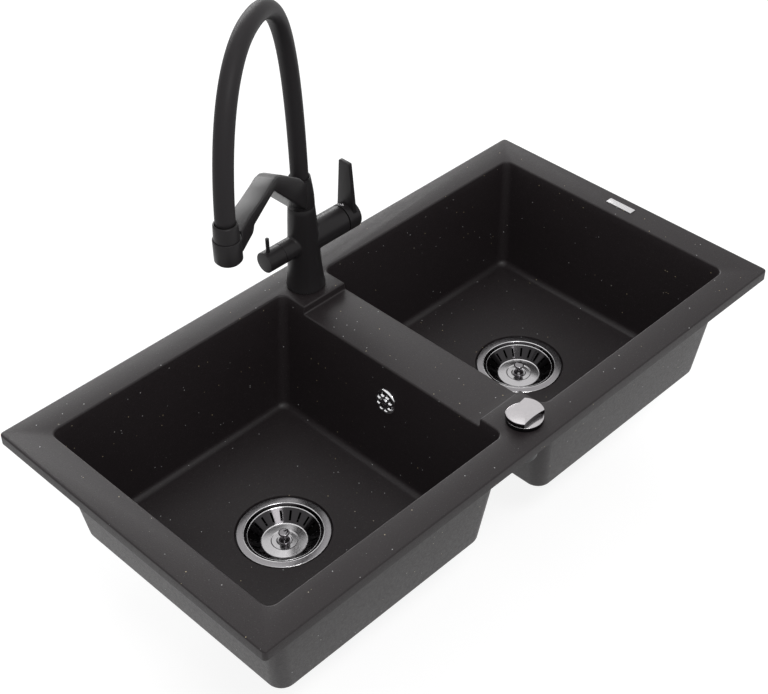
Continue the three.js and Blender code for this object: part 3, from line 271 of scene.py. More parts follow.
def mix_colour(nodes, links, factor, first, second, blend="MIX"):
    """Mixes two colours; each value may be a number, a colour or a socket."""
    node = nodes.new("ShaderNodeMix")
    node.data_type = "RGBA"
    node.blend_type = blend
    for value, socket in ((factor, node.inputs[0]), (first, node.inputs[6]),
                          (second, node.inputs[7])):
        if isinstance(value, (float, int)):
            socket.default_value = value
        elif isinstance(value, tuple):
            socket.default_value = (*value, 1)
        else:
            links.new(value, socket)
    return node.outputs[2]


def add_bump(nodes, links, shader, height, strength, distance):
    bump = add_node(nodes, "ShaderNodeBump", Strength=strength, Distance=distance)
    links.new(height, bump.inputs["Height"])
    links.new(bump.outputs["Normal"], shader.inputs["Normal"])


# %% Granite composite
def fleck_mask(nodes, links, coords, scale, rarity, size):
    """White spots in the few cells whose random value is over the rarity."""
    cells = add_node(nodes, "ShaderNodeTexVoronoi", Scale=scale)
    links.new(coords, cells.inputs["Vector"])
    spot = ramp(nodes, links, cells.outputs["Distance"], [(size * 0.55, 1.0), (size, 0.0)])
    split = nodes.new("ShaderNodeSeparateColor")
    links.new(cells.outputs["Color"], split.inputs["Color"])
    chosen = nodes.new("ShaderNodeMath")
    chosen.operation = "GREATER_THAN"
    chosen.inputs[1].default_value = rarity
    links.new(split.outputs["Red"], chosen.inputs[0])
    both = nodes.new("ShaderNodeMath")
    both.operation = "MULTIPLY"
    links.new(spot, both.inputs[0])
    links.new(chosen.outputs[0], both.inputs[1])
    return both.outputs[0], split.outputs["Green"]


# %% Tone of the composite
DEEP_GROUND, PALE_GROUND = (0.0150, 0.0116, 0.0126), (0.0196, 0.0156, 0.0168)
PALE_GRAIN = (0.055, 0.052, 0.053)
SILVER, GOLD = (0.62, 0.62, 0.63), (0.55, 0.47, 0.30)
GRAIN_SCALE = 620.0  # grains of about 1.5 mm
FLECK_SCALE = 230.0

composite, nodes, links, shader, coords = principled("granite_composite", (0.1, 0.1, 0.1), 0.5)
clouds = noise(nodes, links, coords, 9.0, 3.0)
ground = mix_colour(nodes, links, clouds, DEEP_GROUND, PALE_GROUND)
grain = noise(nodes, links, coords, GRAIN_SCALE, 3.0, 0.75)
grain_tone = ramp(nodes, links, grain, [(0.32, 0.70), (0.68, 1.35)])
ground = mix_colour(nodes, links, 1.0, ground, grain_tone, "MULTIPLY")
fine, _ = fleck_mask(nodes, links, coords, GRAIN_SCALE, 0.90, 0.30)
ground = mix_colour(nodes, links, fine, ground, PALE_GRAIN)
large, tint = fleck_mask(nodes, links, coords, FLECK_SCALE, 0.93, 0.15)
fleck_tint = ramp(nodes, links, tint, [(0.45, SILVER), (0.60, GOLD)])
ground = mix_colour(nodes, links, large, ground, fleck_tint)
links.new(ground, shader.inputs["Base Color"])
print("composite: grains at", GRAIN_SCALE, "and flecks at", FLECK_SCALE)

# %% Gloss of the composite
SMOOTHEST, ROUGHEST = 0.36, 0.48
COMPOSITE_SHEEN = 0.29

mottle = noise(nodes, links, coords, 260.0, 2.0, 0.7)
rough = ramp(nodes, links, mottle, [(0.25, SMOOTHEST), (0.75, ROUGHEST)])
links.new(rough, shader.inputs["Roughness"])
shader.inputs["Specular IOR Level"].default_value = COMPOSITE_SHEEN
add_bump(nodes, links, shader, grain, 0.36, 0.0004)
print("composite: roughness from", SMOOTHEST, "to", ROUGHEST)

# %% [markdown]
# ### Metals, rubber and plastic
#
# The tap is sprayed matt black, which shows as a very fine orange peel. The
# strainers are pressed steel with a satin flange. Their rolled edges get a pale
# steel colour, a painted highlight, and the deep drawn cone gets a nearly black
# one, a painted reflection of the dark sink that it sits in. Even bright steel
# isn't perfect, so a little noise moves its tone, its roughness and its bump. One
# function serves all the dull finishes and one all the metals, so that each
# finish is a single line of numbers.

# %% Sprayed black, hose and plastics
def speckled(name, colour, roughness, spread, scale, bump, metallic=0.0, specular=0.5):
    """One colour whose tone and gloss move a little with a fine noise."""
    material, nodes, links, shader, coords = principled(name, colour, roughness, metallic)
    shader.inputs["Specular IOR Level"].default_value = specular
    fine = noise(nodes, links, coords, scale, 3.0)
    low = tuple(c * 0.86 for c in colour)
    high = tuple(min(1.0, c * 1.14) for c in colour)
    links.new(mix_colour(nodes, links, fine, low, high), shader.inputs["Base Color"])
    gloss = ramp(nodes, links, fine, [(0.3, roughness - spread), (0.7, roughness + spread)])
    links.new(gloss, shader.inputs["Roughness"])
    add_bump(nodes, links, shader, fine, bump, 0.0002)
    return material


sprayed_black = speckled(
    "sprayed_black", (0.0185, 0.0168, 0.0178), 0.36, 0.05, 1400.0, 0.10, specular=0.18)
hose_sleeve = speckled(
    "hose_sleeve", (0.029, 0.0268, 0.0284), 0.48, 0.05, 900.0, 0.16, specular=0.10)
dark_plastic = speckled("dark_plastic", (0.022, 0.023, 0.025), 0.48, 0.06, 600.0, 0.12)
black_rubber = speckled("black_rubber", (0.014, 0.014, 0.014), 0.70, 0.06, 700.0, 0.15)
turned_brass = speckled("turned_brass", (0.60, 0.44, 0.19), 0.32, 0.06, 300.0, 0.05, metallic=1.0)
print("finishes so far:", [material.name for material in bpy.data.materials])

# %% Steels
def polished_steel(name, colour, roughness, bump):
    """Steel with the small unevenness that polishing leaves."""
    material, nodes, links, shader, coords = principled(name, colour, roughness, 1.0)
    fine = noise(nodes, links, coords, 500.0, 2.0)
    gloss = ramp(nodes, links, fine, [(0.3, roughness * 0.8), (0.7, roughness * 1.25)])
    links.new(gloss, shader.inputs["Roughness"])
    tone = mix_colour(nodes, links, fine, tuple(c * 0.93 for c in colour), colour)
    links.new(tone, shader.inputs["Base Color"])
    add_bump(nodes, links, shader, fine, bump, 0.0001)
    return material


satin_steel = polished_steel("satin_steel", (0.30, 0.29, 0.30), 0.16, 0.05)
bright_steel = polished_steel("bright_steel", (0.52, 0.51, 0.52), 0.15, 0.04)
# Nearly black steel for deep cones and upright faces: a painted dark reflection of the sink round
# them.
painted_reflection_steel = polished_steel("painted_reflection_steel", (0.040, 0.038, 0.040), 0.14, 0.03)
# Pale steel for the rounded beads and rims: a painted highlight.
painted_highlight_steel = polished_steel("painted_highlight_steel", (0.60, 0.59, 0.60), 0.21, 0.02)
grip_steel = polished_steel("grip_steel", (0.26, 0.25, 0.26), 0.09, 0.02)
bright_chrome = polished_steel("bright_chrome", (0.84, 0.84, 0.85), 0.07, 0.02)
satin_chrome = polished_steel("satin_chrome", (0.54, 0.52, 0.53), 0.20, 0.03)
plate_steel = polished_steel("plate_steel", (0.66, 0.65, 0.66), 0.28, 0.06)
print("finishes:", len(bpy.data.materials))

# %% [markdown]
# ## Tools of the workshop
#
# Most of the fittings are round, so the main tool is a lathe: a profile in the
# XZ plane is spun about Z. Corners can be rounded before the spin by bevelling
# the profile's vertices, which costs less than bevelling the finished solid.
# The second tool joins or cuts two solids with a Boolean modifier.

# %% Lathe
FINE_WELD = 1e-4  # mm; points that are closer are one point
ROUND_STEPS = 4  # facets of a rounded corner


def lathe(profile, steps=64):
    """Spins (radius, height[, rounding]) points about Z into a closed solid."""
    bm = bmesh.new()
    corners = [bm.verts.new((point[0], 0, point[1])) for point in profile]
    pairs = list(zip(corners, corners[1:]))
    if profile[0][0] > 0 or profile[-1][0] > 0:
        pairs.append((corners[-1], corners[0]))
    for first, second in pairs:
        bm.edges.new((first, second))
    for corner, point in zip(corners, profile):
        if len(point) == 3:
            bmesh.ops.bevel(
                bm, geom=[corner], offset=point[2], offset_type="OFFSET",
                segments=ROUND_STEPS, profile=0.5, affect="VERTICES", material=-1)
    bmesh.ops.spin(
        bm, geom=bm.verts[:] + bm.edges[:], cent=(0, 0, 0), axis=(0, 0, 1),
        dvec=(0, 0, 0), angle=2 * math.pi, steps=steps, use_merge=True)
    bmesh.ops.remove_doubles(bm, verts=bm.verts, dist=FINE_WELD)
    bmesh.ops.recalc_face_normals(bm, faces=bm.faces)
    return bm


# %% Placing and blocks
def placed(bm, matrix):
    bmesh.ops.transform(bm, matrix=matrix, verts=bm.verts)
    return bm


def block(x0, x1, y0, y1, z0, z1):
    bm = bmesh.new()
    bmesh.ops.create_cube(bm, size=1.0)
    bmesh.ops.scale(bm, vec=(x1 - x0, y1 - y0, z1 - z0), verts=bm.verts)
    middle = ((x0 + x1) / 2, (y0 + y1) / 2, (z0 + z1) / 2)
    bmesh.ops.translate(bm, vec=middle, verts=bm.verts)
    return bm


# %% Joining and cutting
def combine(first, second, operation):
    """Joins (UNION) or cuts (DIFFERENCE) two bmeshes and gives a new one."""
    helpers = []
    for part in (first, second):
        mesh = bpy.data.meshes.new("helper")
        part.to_mesh(mesh)
        part.free()
        obj = bpy.data.objects.new("helper", mesh)
        scene.collection.objects.link(obj)
        helpers.append(obj)
    boolean = helpers[0].modifiers.new("boolean", "BOOLEAN")
    boolean.object = helpers[1]
    boolean.operation = operation
    boolean.solver = "EXACT"
    result = bmesh.new()
    result.from_object(helpers[0], bpy.context.evaluated_depsgraph_get())
    for obj in helpers:
        mesh = obj.data
        bpy.data.objects.remove(obj)
        bpy.data.meshes.remove(mesh)
    return result


# %% Finishing a piece
COARSE_WELD = 1e-3  # mm
TO_METRES = (0.001, 0.001, 0.001)


def finish_piece(name, bm, material, body, stands_for, sharp=32, trims=()):
    """Scales a solid to metres, shades it and ties it to its body.

    Edges that turn by more than sharp degrees stay sharp. trims holds pairs of
    a second finish and the test for the faces that get it.
    """
    bmesh.ops.remove_doubles(bm, verts=bm.verts, dist=COARSE_WELD)
    bmesh.ops.dissolve_degenerate(bm, edges=bm.edges, dist=FINE_WELD)
    bm.normal_update()
    for number, (_, chosen) in enumerate(trims, 1):
        for face in bm.faces:
            if chosen(face):
                face.material_index = number
    bmesh.ops.scale(bm, vec=TO_METRES, verts=bm.verts)
    limit = math.radians(sharp)
    for face in bm.faces:
        face.smooth = True
    for edge in bm.edges:
        if len(edge.link_faces) == 2:
            edge.smooth = edge.calc_face_angle(0.0) < limit
    mesh = bpy.data.meshes.new(name)
    bm.to_mesh(mesh)
    bm.free()
    for finish in (material, *(finish for finish, _ in trims)):
        mesh.materials.append(finish)
    obj = bpy.data.objects.new(name, mesh)
    scene.collection.objects.link(obj)
    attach(obj, body)
    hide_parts(*stands_for)
    print(name, len(mesh.polygons), "faces")


# %% [markdown]
# ## The sink
#
# The sink is moulded, so every edge that a hand can touch is round. The outer
# block is the rim with a tapered shell under each bowl, and the bowls are cut
# out of it by two tapered cutters with a rounded floor. A last cut lowers the
# divider. Each cutter is a stack of rounded rectangles joined by bridges. A
# rough cage under a subdivision surface would be quicker, but its walls would
# swell past the measured ones, and a stack keeps every height as it is given.

# %% Rounded rectangles
CORNER_STEPS = 8
SIDE_CUTS = 7


def rounded_loop(bm, rect, radius, z):
    """Adds the outline of a rounded rectangle to bm and returns its edges."""
    x0, x1, y0, y1 = rect
    plate = bmesh.new()
    bmesh.ops.create_grid(plate, x_segments=1, y_segments=1, size=0.5)
    bmesh.ops.scale(plate, vec=(x1 - x0, y1 - y0, 1), verts=plate.verts)
    bmesh.ops.bevel(
        plate, geom=plate.verts[:], offset=radius, offset_type="OFFSET",
        segments=CORNER_STEPS, profile=0.5, affect="VERTICES", material=-1)
    sides = sorted(plate.edges, key=lambda edge: -edge.calc_length())[:4]
    bmesh.ops.subdivide_edges(plate, edges=sides, cuts=SIDE_CUTS)
    bmesh.ops.delete(plate, geom=plate.faces[:], context="FACES_ONLY")
    bmesh.ops.translate(plate, vec=((x0 + x1) / 2, (y0 + y1) / 2, z), verts=plate.verts)
    return add_loop(bm, plate)


def add_loop(bm, loop):
    """Moves the edges of one bmesh into another and returns them there."""
    mesh = bpy.data.meshes.new("loop")
    loop.to_mesh(mesh)
    loop.free()
    before = set(bm.edges)
    bm.from_mesh(mesh)
    bpy.data.meshes.remove(mesh)
    return [edge for edge in bm.edges if edge not in before]


def round_loop(bm, centre, radius, z):
    circle = bmesh.new()
    count = 4 * CORNER_STEPS + 4 * (SIDE_CUTS + 1)
    bmesh.ops.create_circle(circle, cap_ends=False, radius=radius, segments=count)
    turn_on = Matrix.Rotation(math.pi / count, 4, "Z")
    bmesh.ops.transform(circle, matrix=turn_on, verts=circle.verts)
    bmesh.ops.translate(circle, vec=(*centre, z), verts=circle.verts)
    return add_loop(bm, circle)


def bridge_stack(bm, loops):
    """Joins the loops one to the next and closes both ends."""
    for lower, upper in zip(loops, loops[1:]):
        bmesh.ops.bridge_loops(bm, edges=lower + upper)
    for loop in (loops[0], loops[-1]):
        bmesh.ops.contextual_create(bm, geom=loop)
    bmesh.ops.recalc_face_normals(bm, faces=bm.faces)
    return bm


# %% Sizes of the sink
SIDES = ((-1, "left"), (1, "right"))
RIM = (-410.0, 410.0, -10.0, 420.0)
RIM_TOP = 13.0
RIM_CORNER = 5.0
OPENING = (33.0, 371.0, 27.5, 381.5)  # right bowl at the rim
BOWL_FLOOR = (58.5, 348.5, 47.5, 363.5)  # right bowl at the floor
BOWL_DROP = 149.0
DIVIDER_LEAN = 25.5  # of the bowl's wall at the divider, over its drop
FLOOR_Z = RIM_TOP - BOWL_DROP
WASTE_RING_Z = -138.5
FOOT_Z = -144.0
BOSS_RADIUS, BOSS_BOTTOM = 63.0, -151.0
WASTE_PLACE = (203.5, 204.5)
WASTE_HOLE = 45.0
RECESS_RADIUS, RECESS_FLOOR = 56.7, -143.0
KNOB_Y, TAP_Y = 27.0, 376.6
FITTING_HOLE = 17.5  # radius of the holes for the knob and the tap
print("bowls", OPENING[1] - OPENING[0], "by", OPENING[3] - OPENING[2], "mm")


def mirrored(rect, side):
    x0, x1, y0, y1 = rect
    return rect if side > 0 else (-x1, -x0, y0, y1)


def grown(rect, by):
    x0, x1, y0, y1 = rect
    return (x0 - by, x1 + by, y0 - by, y1 + by)


def mixed(first, second, part):
    """The rectangle that lies a part of the way from the first to the second."""
    return tuple(a + (b - a) * part for a, b in zip(first, second))


# %% Cutters for the bowls
def bowl_cutter(side):
    """The room of a bowl, from the waste hole up to above the rim."""
    bm = bmesh.new()
    rim, ground = mirrored(OPENING, side), mirrored(BOWL_FLOOR, side)
    centre = (side * WASTE_PLACE[0], WASTE_PLACE[1])
    part = lambda z: (RIM_TOP - z) / (RIM_TOP - FLOOR_Z)
    corner = lambda z: 11.0 + 3.0 * part(z)
    fillet = 8.0
    waste = (
        (WASTE_HOLE, BOSS_BOTTOM - 4.0), (WASTE_HOLE, RECESS_FLOOR), (55.9, RECESS_FLOOR),
        (56.2, -139.4), (RECESS_RADIUS, WASTE_RING_Z - 0.15), (57.6, WASTE_RING_Z),
    )
    loops = [round_loop(bm, centre, radius, z) for radius, z in waste]
    loops.append(rounded_loop(bm, grown(ground, -fillet), 14.0 - fillet, FLOOR_Z))
    for degrees in (75, 60, 45, 30, 15, 0):
        angle = math.radians(degrees)
        inset = fillet * (1 - math.cos(angle))
        z = FLOOR_Z + fillet * (1 - math.sin(angle))
        rect = grown(mixed(rim, ground, part(z)), -inset)
        loops.append(rounded_loop(bm, rect, corner(z) - inset, z))
    for z in (-60.0, 0.0, RIM_TOP + 6.0):
        loops.append(rounded_loop(bm, mixed(rim, ground, part(z)), corner(z), z))
    return bridge_stack(bm, loops)


# %% Shells of the bowls
def bowl_shell(side):
    """The outside of a bowl, from its rounded foot up into the rim."""
    bm = bmesh.new()
    upper = grown(mirrored(OPENING, side), 8.0)
    lower = grown(mirrored(BOWL_FLOOR, side), 9.5)
    part = lambda z: (RIM_TOP - z) / (RIM_TOP - FOOT_Z)
    foot = 6.0
    loops = []
    for degrees in (90, 72, 54, 36, 18, 0):
        angle = math.radians(degrees)
        inset = foot * (1 - math.cos(angle))
        z = FOOT_Z + foot * (1 - math.sin(angle))
        rect = grown(mixed(upper, lower, part(z)), -inset)
        loops.append(rounded_loop(bm, rect, 19.0 - part(z) - inset, z))
    loops.append(rounded_loop(bm, mixed(upper, lower, part(6.0)), 19.0, 6.0))
    return bridge_stack(bm, loops)


# %% Moulding the sink
SEAT_BAND, SEAT_STEP = 12.0, 1.0  # only a band of the underside lies on the worktop
DIP_FLOOR = 3.0  # height of the lowered divider
DIVIDER_WEB = (-33, 33, 54.5, 351.5, -5.0, 2.0)  # thickens it from below
DIVIDER_DIP = (-39.4, 39.4, 62.5, 343.5, DIP_FLOOR, RIM_TOP + 4)  # cut out of its top


def at_waste(side):
    return Matrix.Translation((side * WASTE_PLACE[0], WASTE_PLACE[1], 0))


def slab(rect, low, high):
    """A plate with the rim's rounded corners."""
    bm = bmesh.new()
    return bridge_stack(bm, [rounded_loop(bm, rect, RIM_CORNER, z) for z in (low, high)])


relief = slab(grown(RIM, -SEAT_BAND), -1.0, SEAT_STEP)
sink = combine(slab(RIM, 0.0, RIM_TOP), relief, "DIFFERENCE")
sink = combine(sink, block(*DIVIDER_WEB), "UNION")
for side, _ in SIDES:
    sink = combine(sink, bowl_shell(side), "UNION")
    boss = lathe([(0, BOSS_BOTTOM), (BOSS_RADIUS, BOSS_BOTTOM, 3), (BOSS_RADIUS, -138), (0, -138)])
    sink = combine(sink, placed(boss, at_waste(side)), "UNION")
for side, _ in SIDES:
    sink = combine(sink, bowl_cutter(side), "DIFFERENCE")
sink = combine(sink, block(*DIVIDER_DIP), "DIFFERENCE")
for y in (KNOB_Y, TAP_Y):
    hole = lathe([(0, -12), (FITTING_HOLE, -12), (FITTING_HOLE, 20), (0, 20)])
    sink = combine(sink, placed(hole, Matrix.Translation((0, y, 0))), "DIFFERENCE")
print("sink before rounding:", len(sink.faces), "faces")

# %% [markdown]
# The hole for the overflow leaves the wall of the left bowl squarely, and that
# wall leans by about ten degrees, so the cutter is tilted with it.

# %% Overflow hole
OVERFLOW_DROP = 54  # below the rim's top
OVERFLOW_Y = 199
LEAN = math.atan(DIVIDER_LEAN / BOWL_DROP)
OVERFLOW_X = -OPENING[0] - DIVIDER_LEAN * OVERFLOW_DROP / BOWL_DROP
OVERFLOW = Matrix.Translation((OVERFLOW_X, OVERFLOW_Y, RIM_TOP - OVERFLOW_DROP)) @ (
    Matrix.Rotation(-math.pi / 2 + LEAN, 4, "Y"))

hole = placed(lathe([(0, -19), (12.5, -19), (12.5, 9.5), (0, 9.5)]), OVERFLOW)
sink = combine(sink, hole, "DIFFERENCE")
print("wall of the overflow leans", round(math.degrees(LEAN), 1), "degrees")

# %% [markdown]
# A mould leaves no sharp edge on top. The edges to round are picked by their
# place: those that turn sharply and lie at the rim's top or in the dip of the
# divider. The two fitting holes stay sharp, because they are drilled later.

# %% Rounding the moulding
EDGE_ROUNDING = 1.9  # mm

bmesh.ops.remove_doubles(sink, verts=sink.verts, dist=0.01)


def is_corner(edge):
    return len(edge.link_faces) == 2 and 50 < math.degrees(edge.calc_face_angle(0.0)) < 130


def round_hole(edge, y):
    return all(math.hypot(v.co.x, v.co.y - y) < FITTING_HOLE + 1 for v in edge.verts)


def on_top_edges(edge):
    low = min(vert.co.z for vert in edge.verts)
    divider = all(abs(v.co.x) < 40 and 60 < v.co.y < 346 for v in edge.verts)
    at_rim = low > RIM_TOP - 0.01
    at_dip = divider and low > DIP_FLOOR - 0.1
    return (at_rim or at_dip) and not (round_hole(edge, KNOB_Y) or round_hole(edge, TAP_Y))


soft_edges = [edge for edge in sink.edges if is_corner(edge) and on_top_edges(edge)]
bmesh.ops.bevel(
    sink, geom=soft_edges, offset=EDGE_ROUNDING, offset_type="OFFSET", segments=4,
    profile=0.5, affect="EDGES", clamp_overlap=False, material=-1)
print("rounded edges:", len(soft_edges))
finish_piece("sink_moulding", sink, composite, "sink", ["sink_body"], 30)

# %% [markdown]
# A small plate of bare metal lies on the right end of the rim. It is a block
# whose upper edges are bevelled, as a stamped plate has them.

# %% Badge plate
BADGE = (387.4, 397.2, 183.9, 223.5, 13.1, 14.0)

badge = block(*BADGE)
bmesh.ops.bevel(
    badge, geom=[e for e in badge.edges if min(v.co.z for v in e.verts) > 13.5],
    offset=0.3, offset_type="OFFSET", segments=2, profile=0.5, affect="EDGES", material=-1)
finish_piece("bare_plate", badge, plate_steel, "sink", ["badge_plate"])

# %% [markdown]
# ## The wastes
#
# Each waste is a pressed mouth in the recess of the floor, with a strainer
# basket in it. Under the bowl a moulded cup, a coupling nut and a short pipe
# lead the water away. All of them are round, so they come off the lathe. The
# mouth's flange has a polished bead on either side of its satin ring: these are
# real steps in the profile, and their faces get a pale colour, a painted
# highlight. The inside of the mouth gets a nearly black colour, a painted
# reflection of the dark bowl.

# %% Pressed mouth
FLANGE_TOP = -139.2
MOUTH_FLOOR = FLANGE_TOP - 24.2
DRAIN_HOLES = 6


def pressed_mouth():
    """The flange, the wall and the pierced floor of a waste's mouth."""
    top = FLANGE_TOP
    mouth = lathe([
        (5.3, MOUTH_FLOOR), (43.6, MOUTH_FLOOR, 1.5), (44.4, top - 2.6), (45.6, top - 2.0),
        (54.8, top - 2.0), (54.8, top - 0.8, 0.3), (54.1, top - 0.15, 0.3),
        (46.7, top - 0.15, 0.2), (46.2, top, 0.2), (45.5, top - 0.3, 0.3), (43.5, top - 2.6),
        (42.7, MOUTH_FLOOR + 0.9, 1.0), (5.3, MOUTH_FLOOR + 0.9),
    ], 96)
    for i in range(DRAIN_HOLES):
        angle = math.radians(60 * i)
        drill = lathe([(0, -200), (7, -200), (7, -155), (0, -155)], 24)
        placed(drill, Matrix.Translation((27 * math.cos(angle), 27 * math.sin(angle), 0)))
        mouth = combine(mouth, drill, "DIFFERENCE")
    return mouth


# %% Mouths with painted highlights on the beads and a painted dark reflection inside
def in_ring(side, inner, outer, low, high=0.0):
    """Chooses the faces of a ring round the waste between two heights."""
    def chosen(face):
        middle = face.calc_center_median()
        radius = math.hypot(middle.x - side * WASTE_PLACE[0], middle.y - WASTE_PLACE[1])
        return inner < radius < outer and low < middle.z < high
    return chosen


for side, tag in SIDES:
    # The pale beads are painted highlights; the nearly black inner wall and floor are a painted
    # reflection of the dark bowl.
    trims = [(painted_highlight_steel, in_ring(side, 54.0, 56.0, FLANGE_TOP - 0.9)),
             (painted_highlight_steel, in_ring(side, 45.3, 46.8, FLANGE_TOP - 0.4)),
             (painted_reflection_steel, in_ring(side, 0.0, 45.3, -200.0, FLANGE_TOP - 0.2))]
    finish_piece("mouth_" + tag, placed(pressed_mouth(), at_waste(side)), satin_steel,
                 "sink", ["waste_flange_" + tag], trims=trims)

# %% [markdown]
# The basket is pressed from sheet: a rolled rim, a cone with upright slots and
# a crowned floor with a ring pressed into it. The slots could be drawn in a
# bump map, but light has to fall through them. So they are cut: a long narrow
# block without its middle makes two slots that face each other, and ten such
# blocks, turned round the axis, make all twenty.

# %% Strainer basket
BASKET_TOP = FLANGE_TOP - 2.4
BASKET_FLOOR = BASKET_TOP - 12.6
SLOT_PAIRS = 10


def strainer():
    """The shell of the basket with its slots."""
    top, plate = BASKET_TOP, BASKET_FLOOR
    shell = lathe([
        (0, plate - 7.3), (6, plate - 7.3, 0.5), (6, plate - 0.8), (27.4, plate - 0.8, 1.0),
        (41.9, top - 1.2), (42.5, top - 0.5, 0.3), (42.0, top, 0.3), (41.2, top - 0.6),
        (26.6, plate - 0.5, 0.8), (15.6, plate + 1.0, 0.5), (14.9, plate + 0.3, 0.4),
        (9.2, plate + 0.9, 0.6), (8.2, plate, 0.4), (0, plate),
    ], 120)
    for i in range(SLOT_PAIRS):
        slots = block(-38.6, 38.6, -1.3, 1.3, plate - 2, top + 3)
        core = block(-29.6, 29.6, -3, 3, plate - 4, top + 5)
        slots = combine(slots, core, "DIFFERENCE")
        placed(slots, Matrix.Rotation(math.radians(18 * i), 4, "Z"))
        shell = combine(shell, slots, "DIFFERENCE")
    return shell


# %% Strainers, grips and plug discs
GRIP = [
    (0, 0), (6.7, 0, 0.4), (6.7, 1.6, 0.6), (3.0, 5.2, 2.0), (3.0, 8.2, 2.0), (5.6, 11.0, 1.0),
    (6.7, 12.0, 0.8), (5.8, 14.0, 1.0), (0, 14.0),
]

for side, tag in SIDES:
    body = tag + "_basket"
    # The nearly black cone is a painted reflection of the dark bowl; the pale rim and floor ring
    # are painted highlights.
    trims = [(painted_reflection_steel, in_ring(side, 27.0, 41.6, BASKET_FLOOR - 1.0, BASKET_TOP - 0.45)),
             (painted_highlight_steel, in_ring(side, 41.0, 43.0, BASKET_TOP - 0.45)),
             (painted_highlight_steel, in_ring(side, 26.0, 27.3, BASKET_FLOOR - 0.5, BASKET_FLOOR + 0.8))]
    finish_piece("strainer_" + tag, placed(strainer(), at_waste(side)), bright_steel, body,
                 ["basket_" + tag], trims=trims)
    lift = at_waste(side) @ Matrix.Translation((0, 0, BASKET_FLOOR + 0.3))
    finish_piece("grip_" + tag, placed(lathe(GRIP, 48), lift), grip_steel, body,
                 ["basket_grip_" + tag])
    under = BASKET_FLOOR - 1.1
    disc = lathe([(6.3, under - 3), (24, under - 3, 0.8), (24, under, 0.8), (6.3, under)])
    finish_piece("plug_disc_" + tag, placed(disc, at_waste(side)), black_rubber, body,
                 ["basket_seal_" + tag])

# %% [markdown]
# The cup, its outlet and the coupling nut are black plastic. Only someone who
# looks under the sink sees them, but they have their threads and grips too.

# %% Threaded pipe
def screwed_pipe(radius, bore, top, bottom, pitch=3.0):
    """A pipe with the ridges of a coarse thread on its lower part."""
    profile = [(bore, bottom), (radius - 0.9, bottom, 0.3)]
    z = bottom + 2.0
    while z + pitch < top:
        profile += [(radius - 0.9, z), (radius, z + 0.35 * pitch), (radius - 0.9, z + 0.7 * pitch)]
        z += pitch
    profile += [(radius - 0.9, top), (bore, top)]
    return lathe(profile, 64)


# %% Cup with its hub, ribs and grips
CUP_TOP = -153.6


def gathered(*parts):
    """Lays several solids side by side in one bmesh."""
    whole = bmesh.new()
    for part in parts:
        mesh = bpy.data.meshes.new("helper")
        part.to_mesh(mesh)
        part.free()
        whole.from_mesh(mesh)
        bpy.data.meshes.remove(mesh)
    return whole


def waste_cup():
    z = CUP_TOP
    cup = lathe([
        (17.5, z - 36), (20, z - 36), (21.5, z - 35, 1.5), (49, z - 23, 3), (50, z - 21.5, 1),
        (50, z - 5.0, 1.0), (56, z - 5.0, 0.8), (56, z, 0.5), (47, z, 0.3), (47, z - 22, 3),
        (17.5, z - 34, 2),
    ], 96)
    hub = lathe([(5.3, z - 36), (9, z - 36), (9, z - 10.1), (5.3, z - 10.1)], 32)
    ribs = [placed(block(8, 47.5, -2, 2, z - 22, z - 12.1),
                   Matrix.Rotation(i * math.pi / 2, 4, "Z")) for i in range(4)]
    grips = [placed(block(55.2, 56.0, -1.6, 1.6, z - 4.8, z - 0.4),
                    Matrix.Rotation(math.radians(15 * i), 4, "Z")) for i in range(24)]
    pipe = screwed_pipe(20, 17.5, z - 34, z - 78)
    return gathered(cup, hub, pipe, *ribs, *grips)


# %% Everything under a bowl
PIPE_Z = -167.6  # height of the overflow pipe and of the control's cable


def level(sign):
    """Lays a turned piece along X (+1) or -X (-1)."""
    return Matrix.Rotation(sign * math.pi / 2, 4, "Y")


for side, tag in SIDES:
    cup = waste_cup()
    if side < 0:
        spigot = lathe([(8.5, 48.5), (11, 48.5), (11, 66), (11.7, 66.4, 0.3), (11.7, 69.6, 0.5),
                        (8.5, 70)], 40)
        cup = gathered(cup, placed(spigot, Matrix.Translation((0, 0, PIPE_Z)) @ level(1)))
    finish_piece("cup_" + tag, placed(cup, at_waste(side)), dark_plastic, "sink",
                 ["waste_body_" + tag, "outlet_pipe_" + tag])
    nut = lathe([(20.2, -217.6), (26.5, -217.6, 1.2), (26.5, -199.6, 1.2), (20.2, -199.6)], 12)
    finish_piece("coupling_nut_" + tag, placed(nut, at_waste(side)), dark_plastic, "sink",
                 ["outlet_nut_" + tag], 20)
    bore = 0 if side < 0 else 3.3
    screw = lathe([(bore, -184.2), (5, -184.2, 0.5), (5, -162.2), (8, -162.2), (8, -160.7, 0.7),
                   (bore, -160.7)], 32)
    finish_piece("clamp_screw_" + tag, placed(screw, at_waste(side)), plate_steel, "sink",
                 ["waste_screw_" + tag])
    upper = lathe([(46.2, -142.7), (53.8, -142.7, 0.3), (53.8, -141.5, 0.3), (46.2, -141.5)])
    finish_piece("upper_gasket_" + tag, placed(upper, at_waste(side)), black_rubber, "sink",
                 ["waste_seal_upper_" + tag])
    lower = lathe([(46.2, -153.3), (55, -153.3, 0.6), (55, -151.3, 0.6), (46.2, -151.3)])
    finish_piece("lower_gasket_" + tag, placed(lower, at_waste(side)), black_rubber, "sink",
                 ["waste_seal_lower_" + tag])

pin = lathe([(0, -190.7), (3, -190.7, 0.8), (3, -160.7, 0.8), (0, -160.7)], 32)
finish_piece("push_pin", placed(pin, at_waste(1)), plate_steel, "right_basket",
             ["lift_pin"])

# %% [markdown]
# ## Overflow
#
# A chromed rosette with eight holes covers the overflow. Its screw pulls the
# elbow behind the wall up against it, and a pipe leads to the left waste. The
# rosette is a low dome from the lathe, and each hole is countersunk by a drill
# that is a pin and a cone in one. The pipe follows a Bezier curve, whose handles
# give its bend, and the curve's round bevel is turned into a mesh.

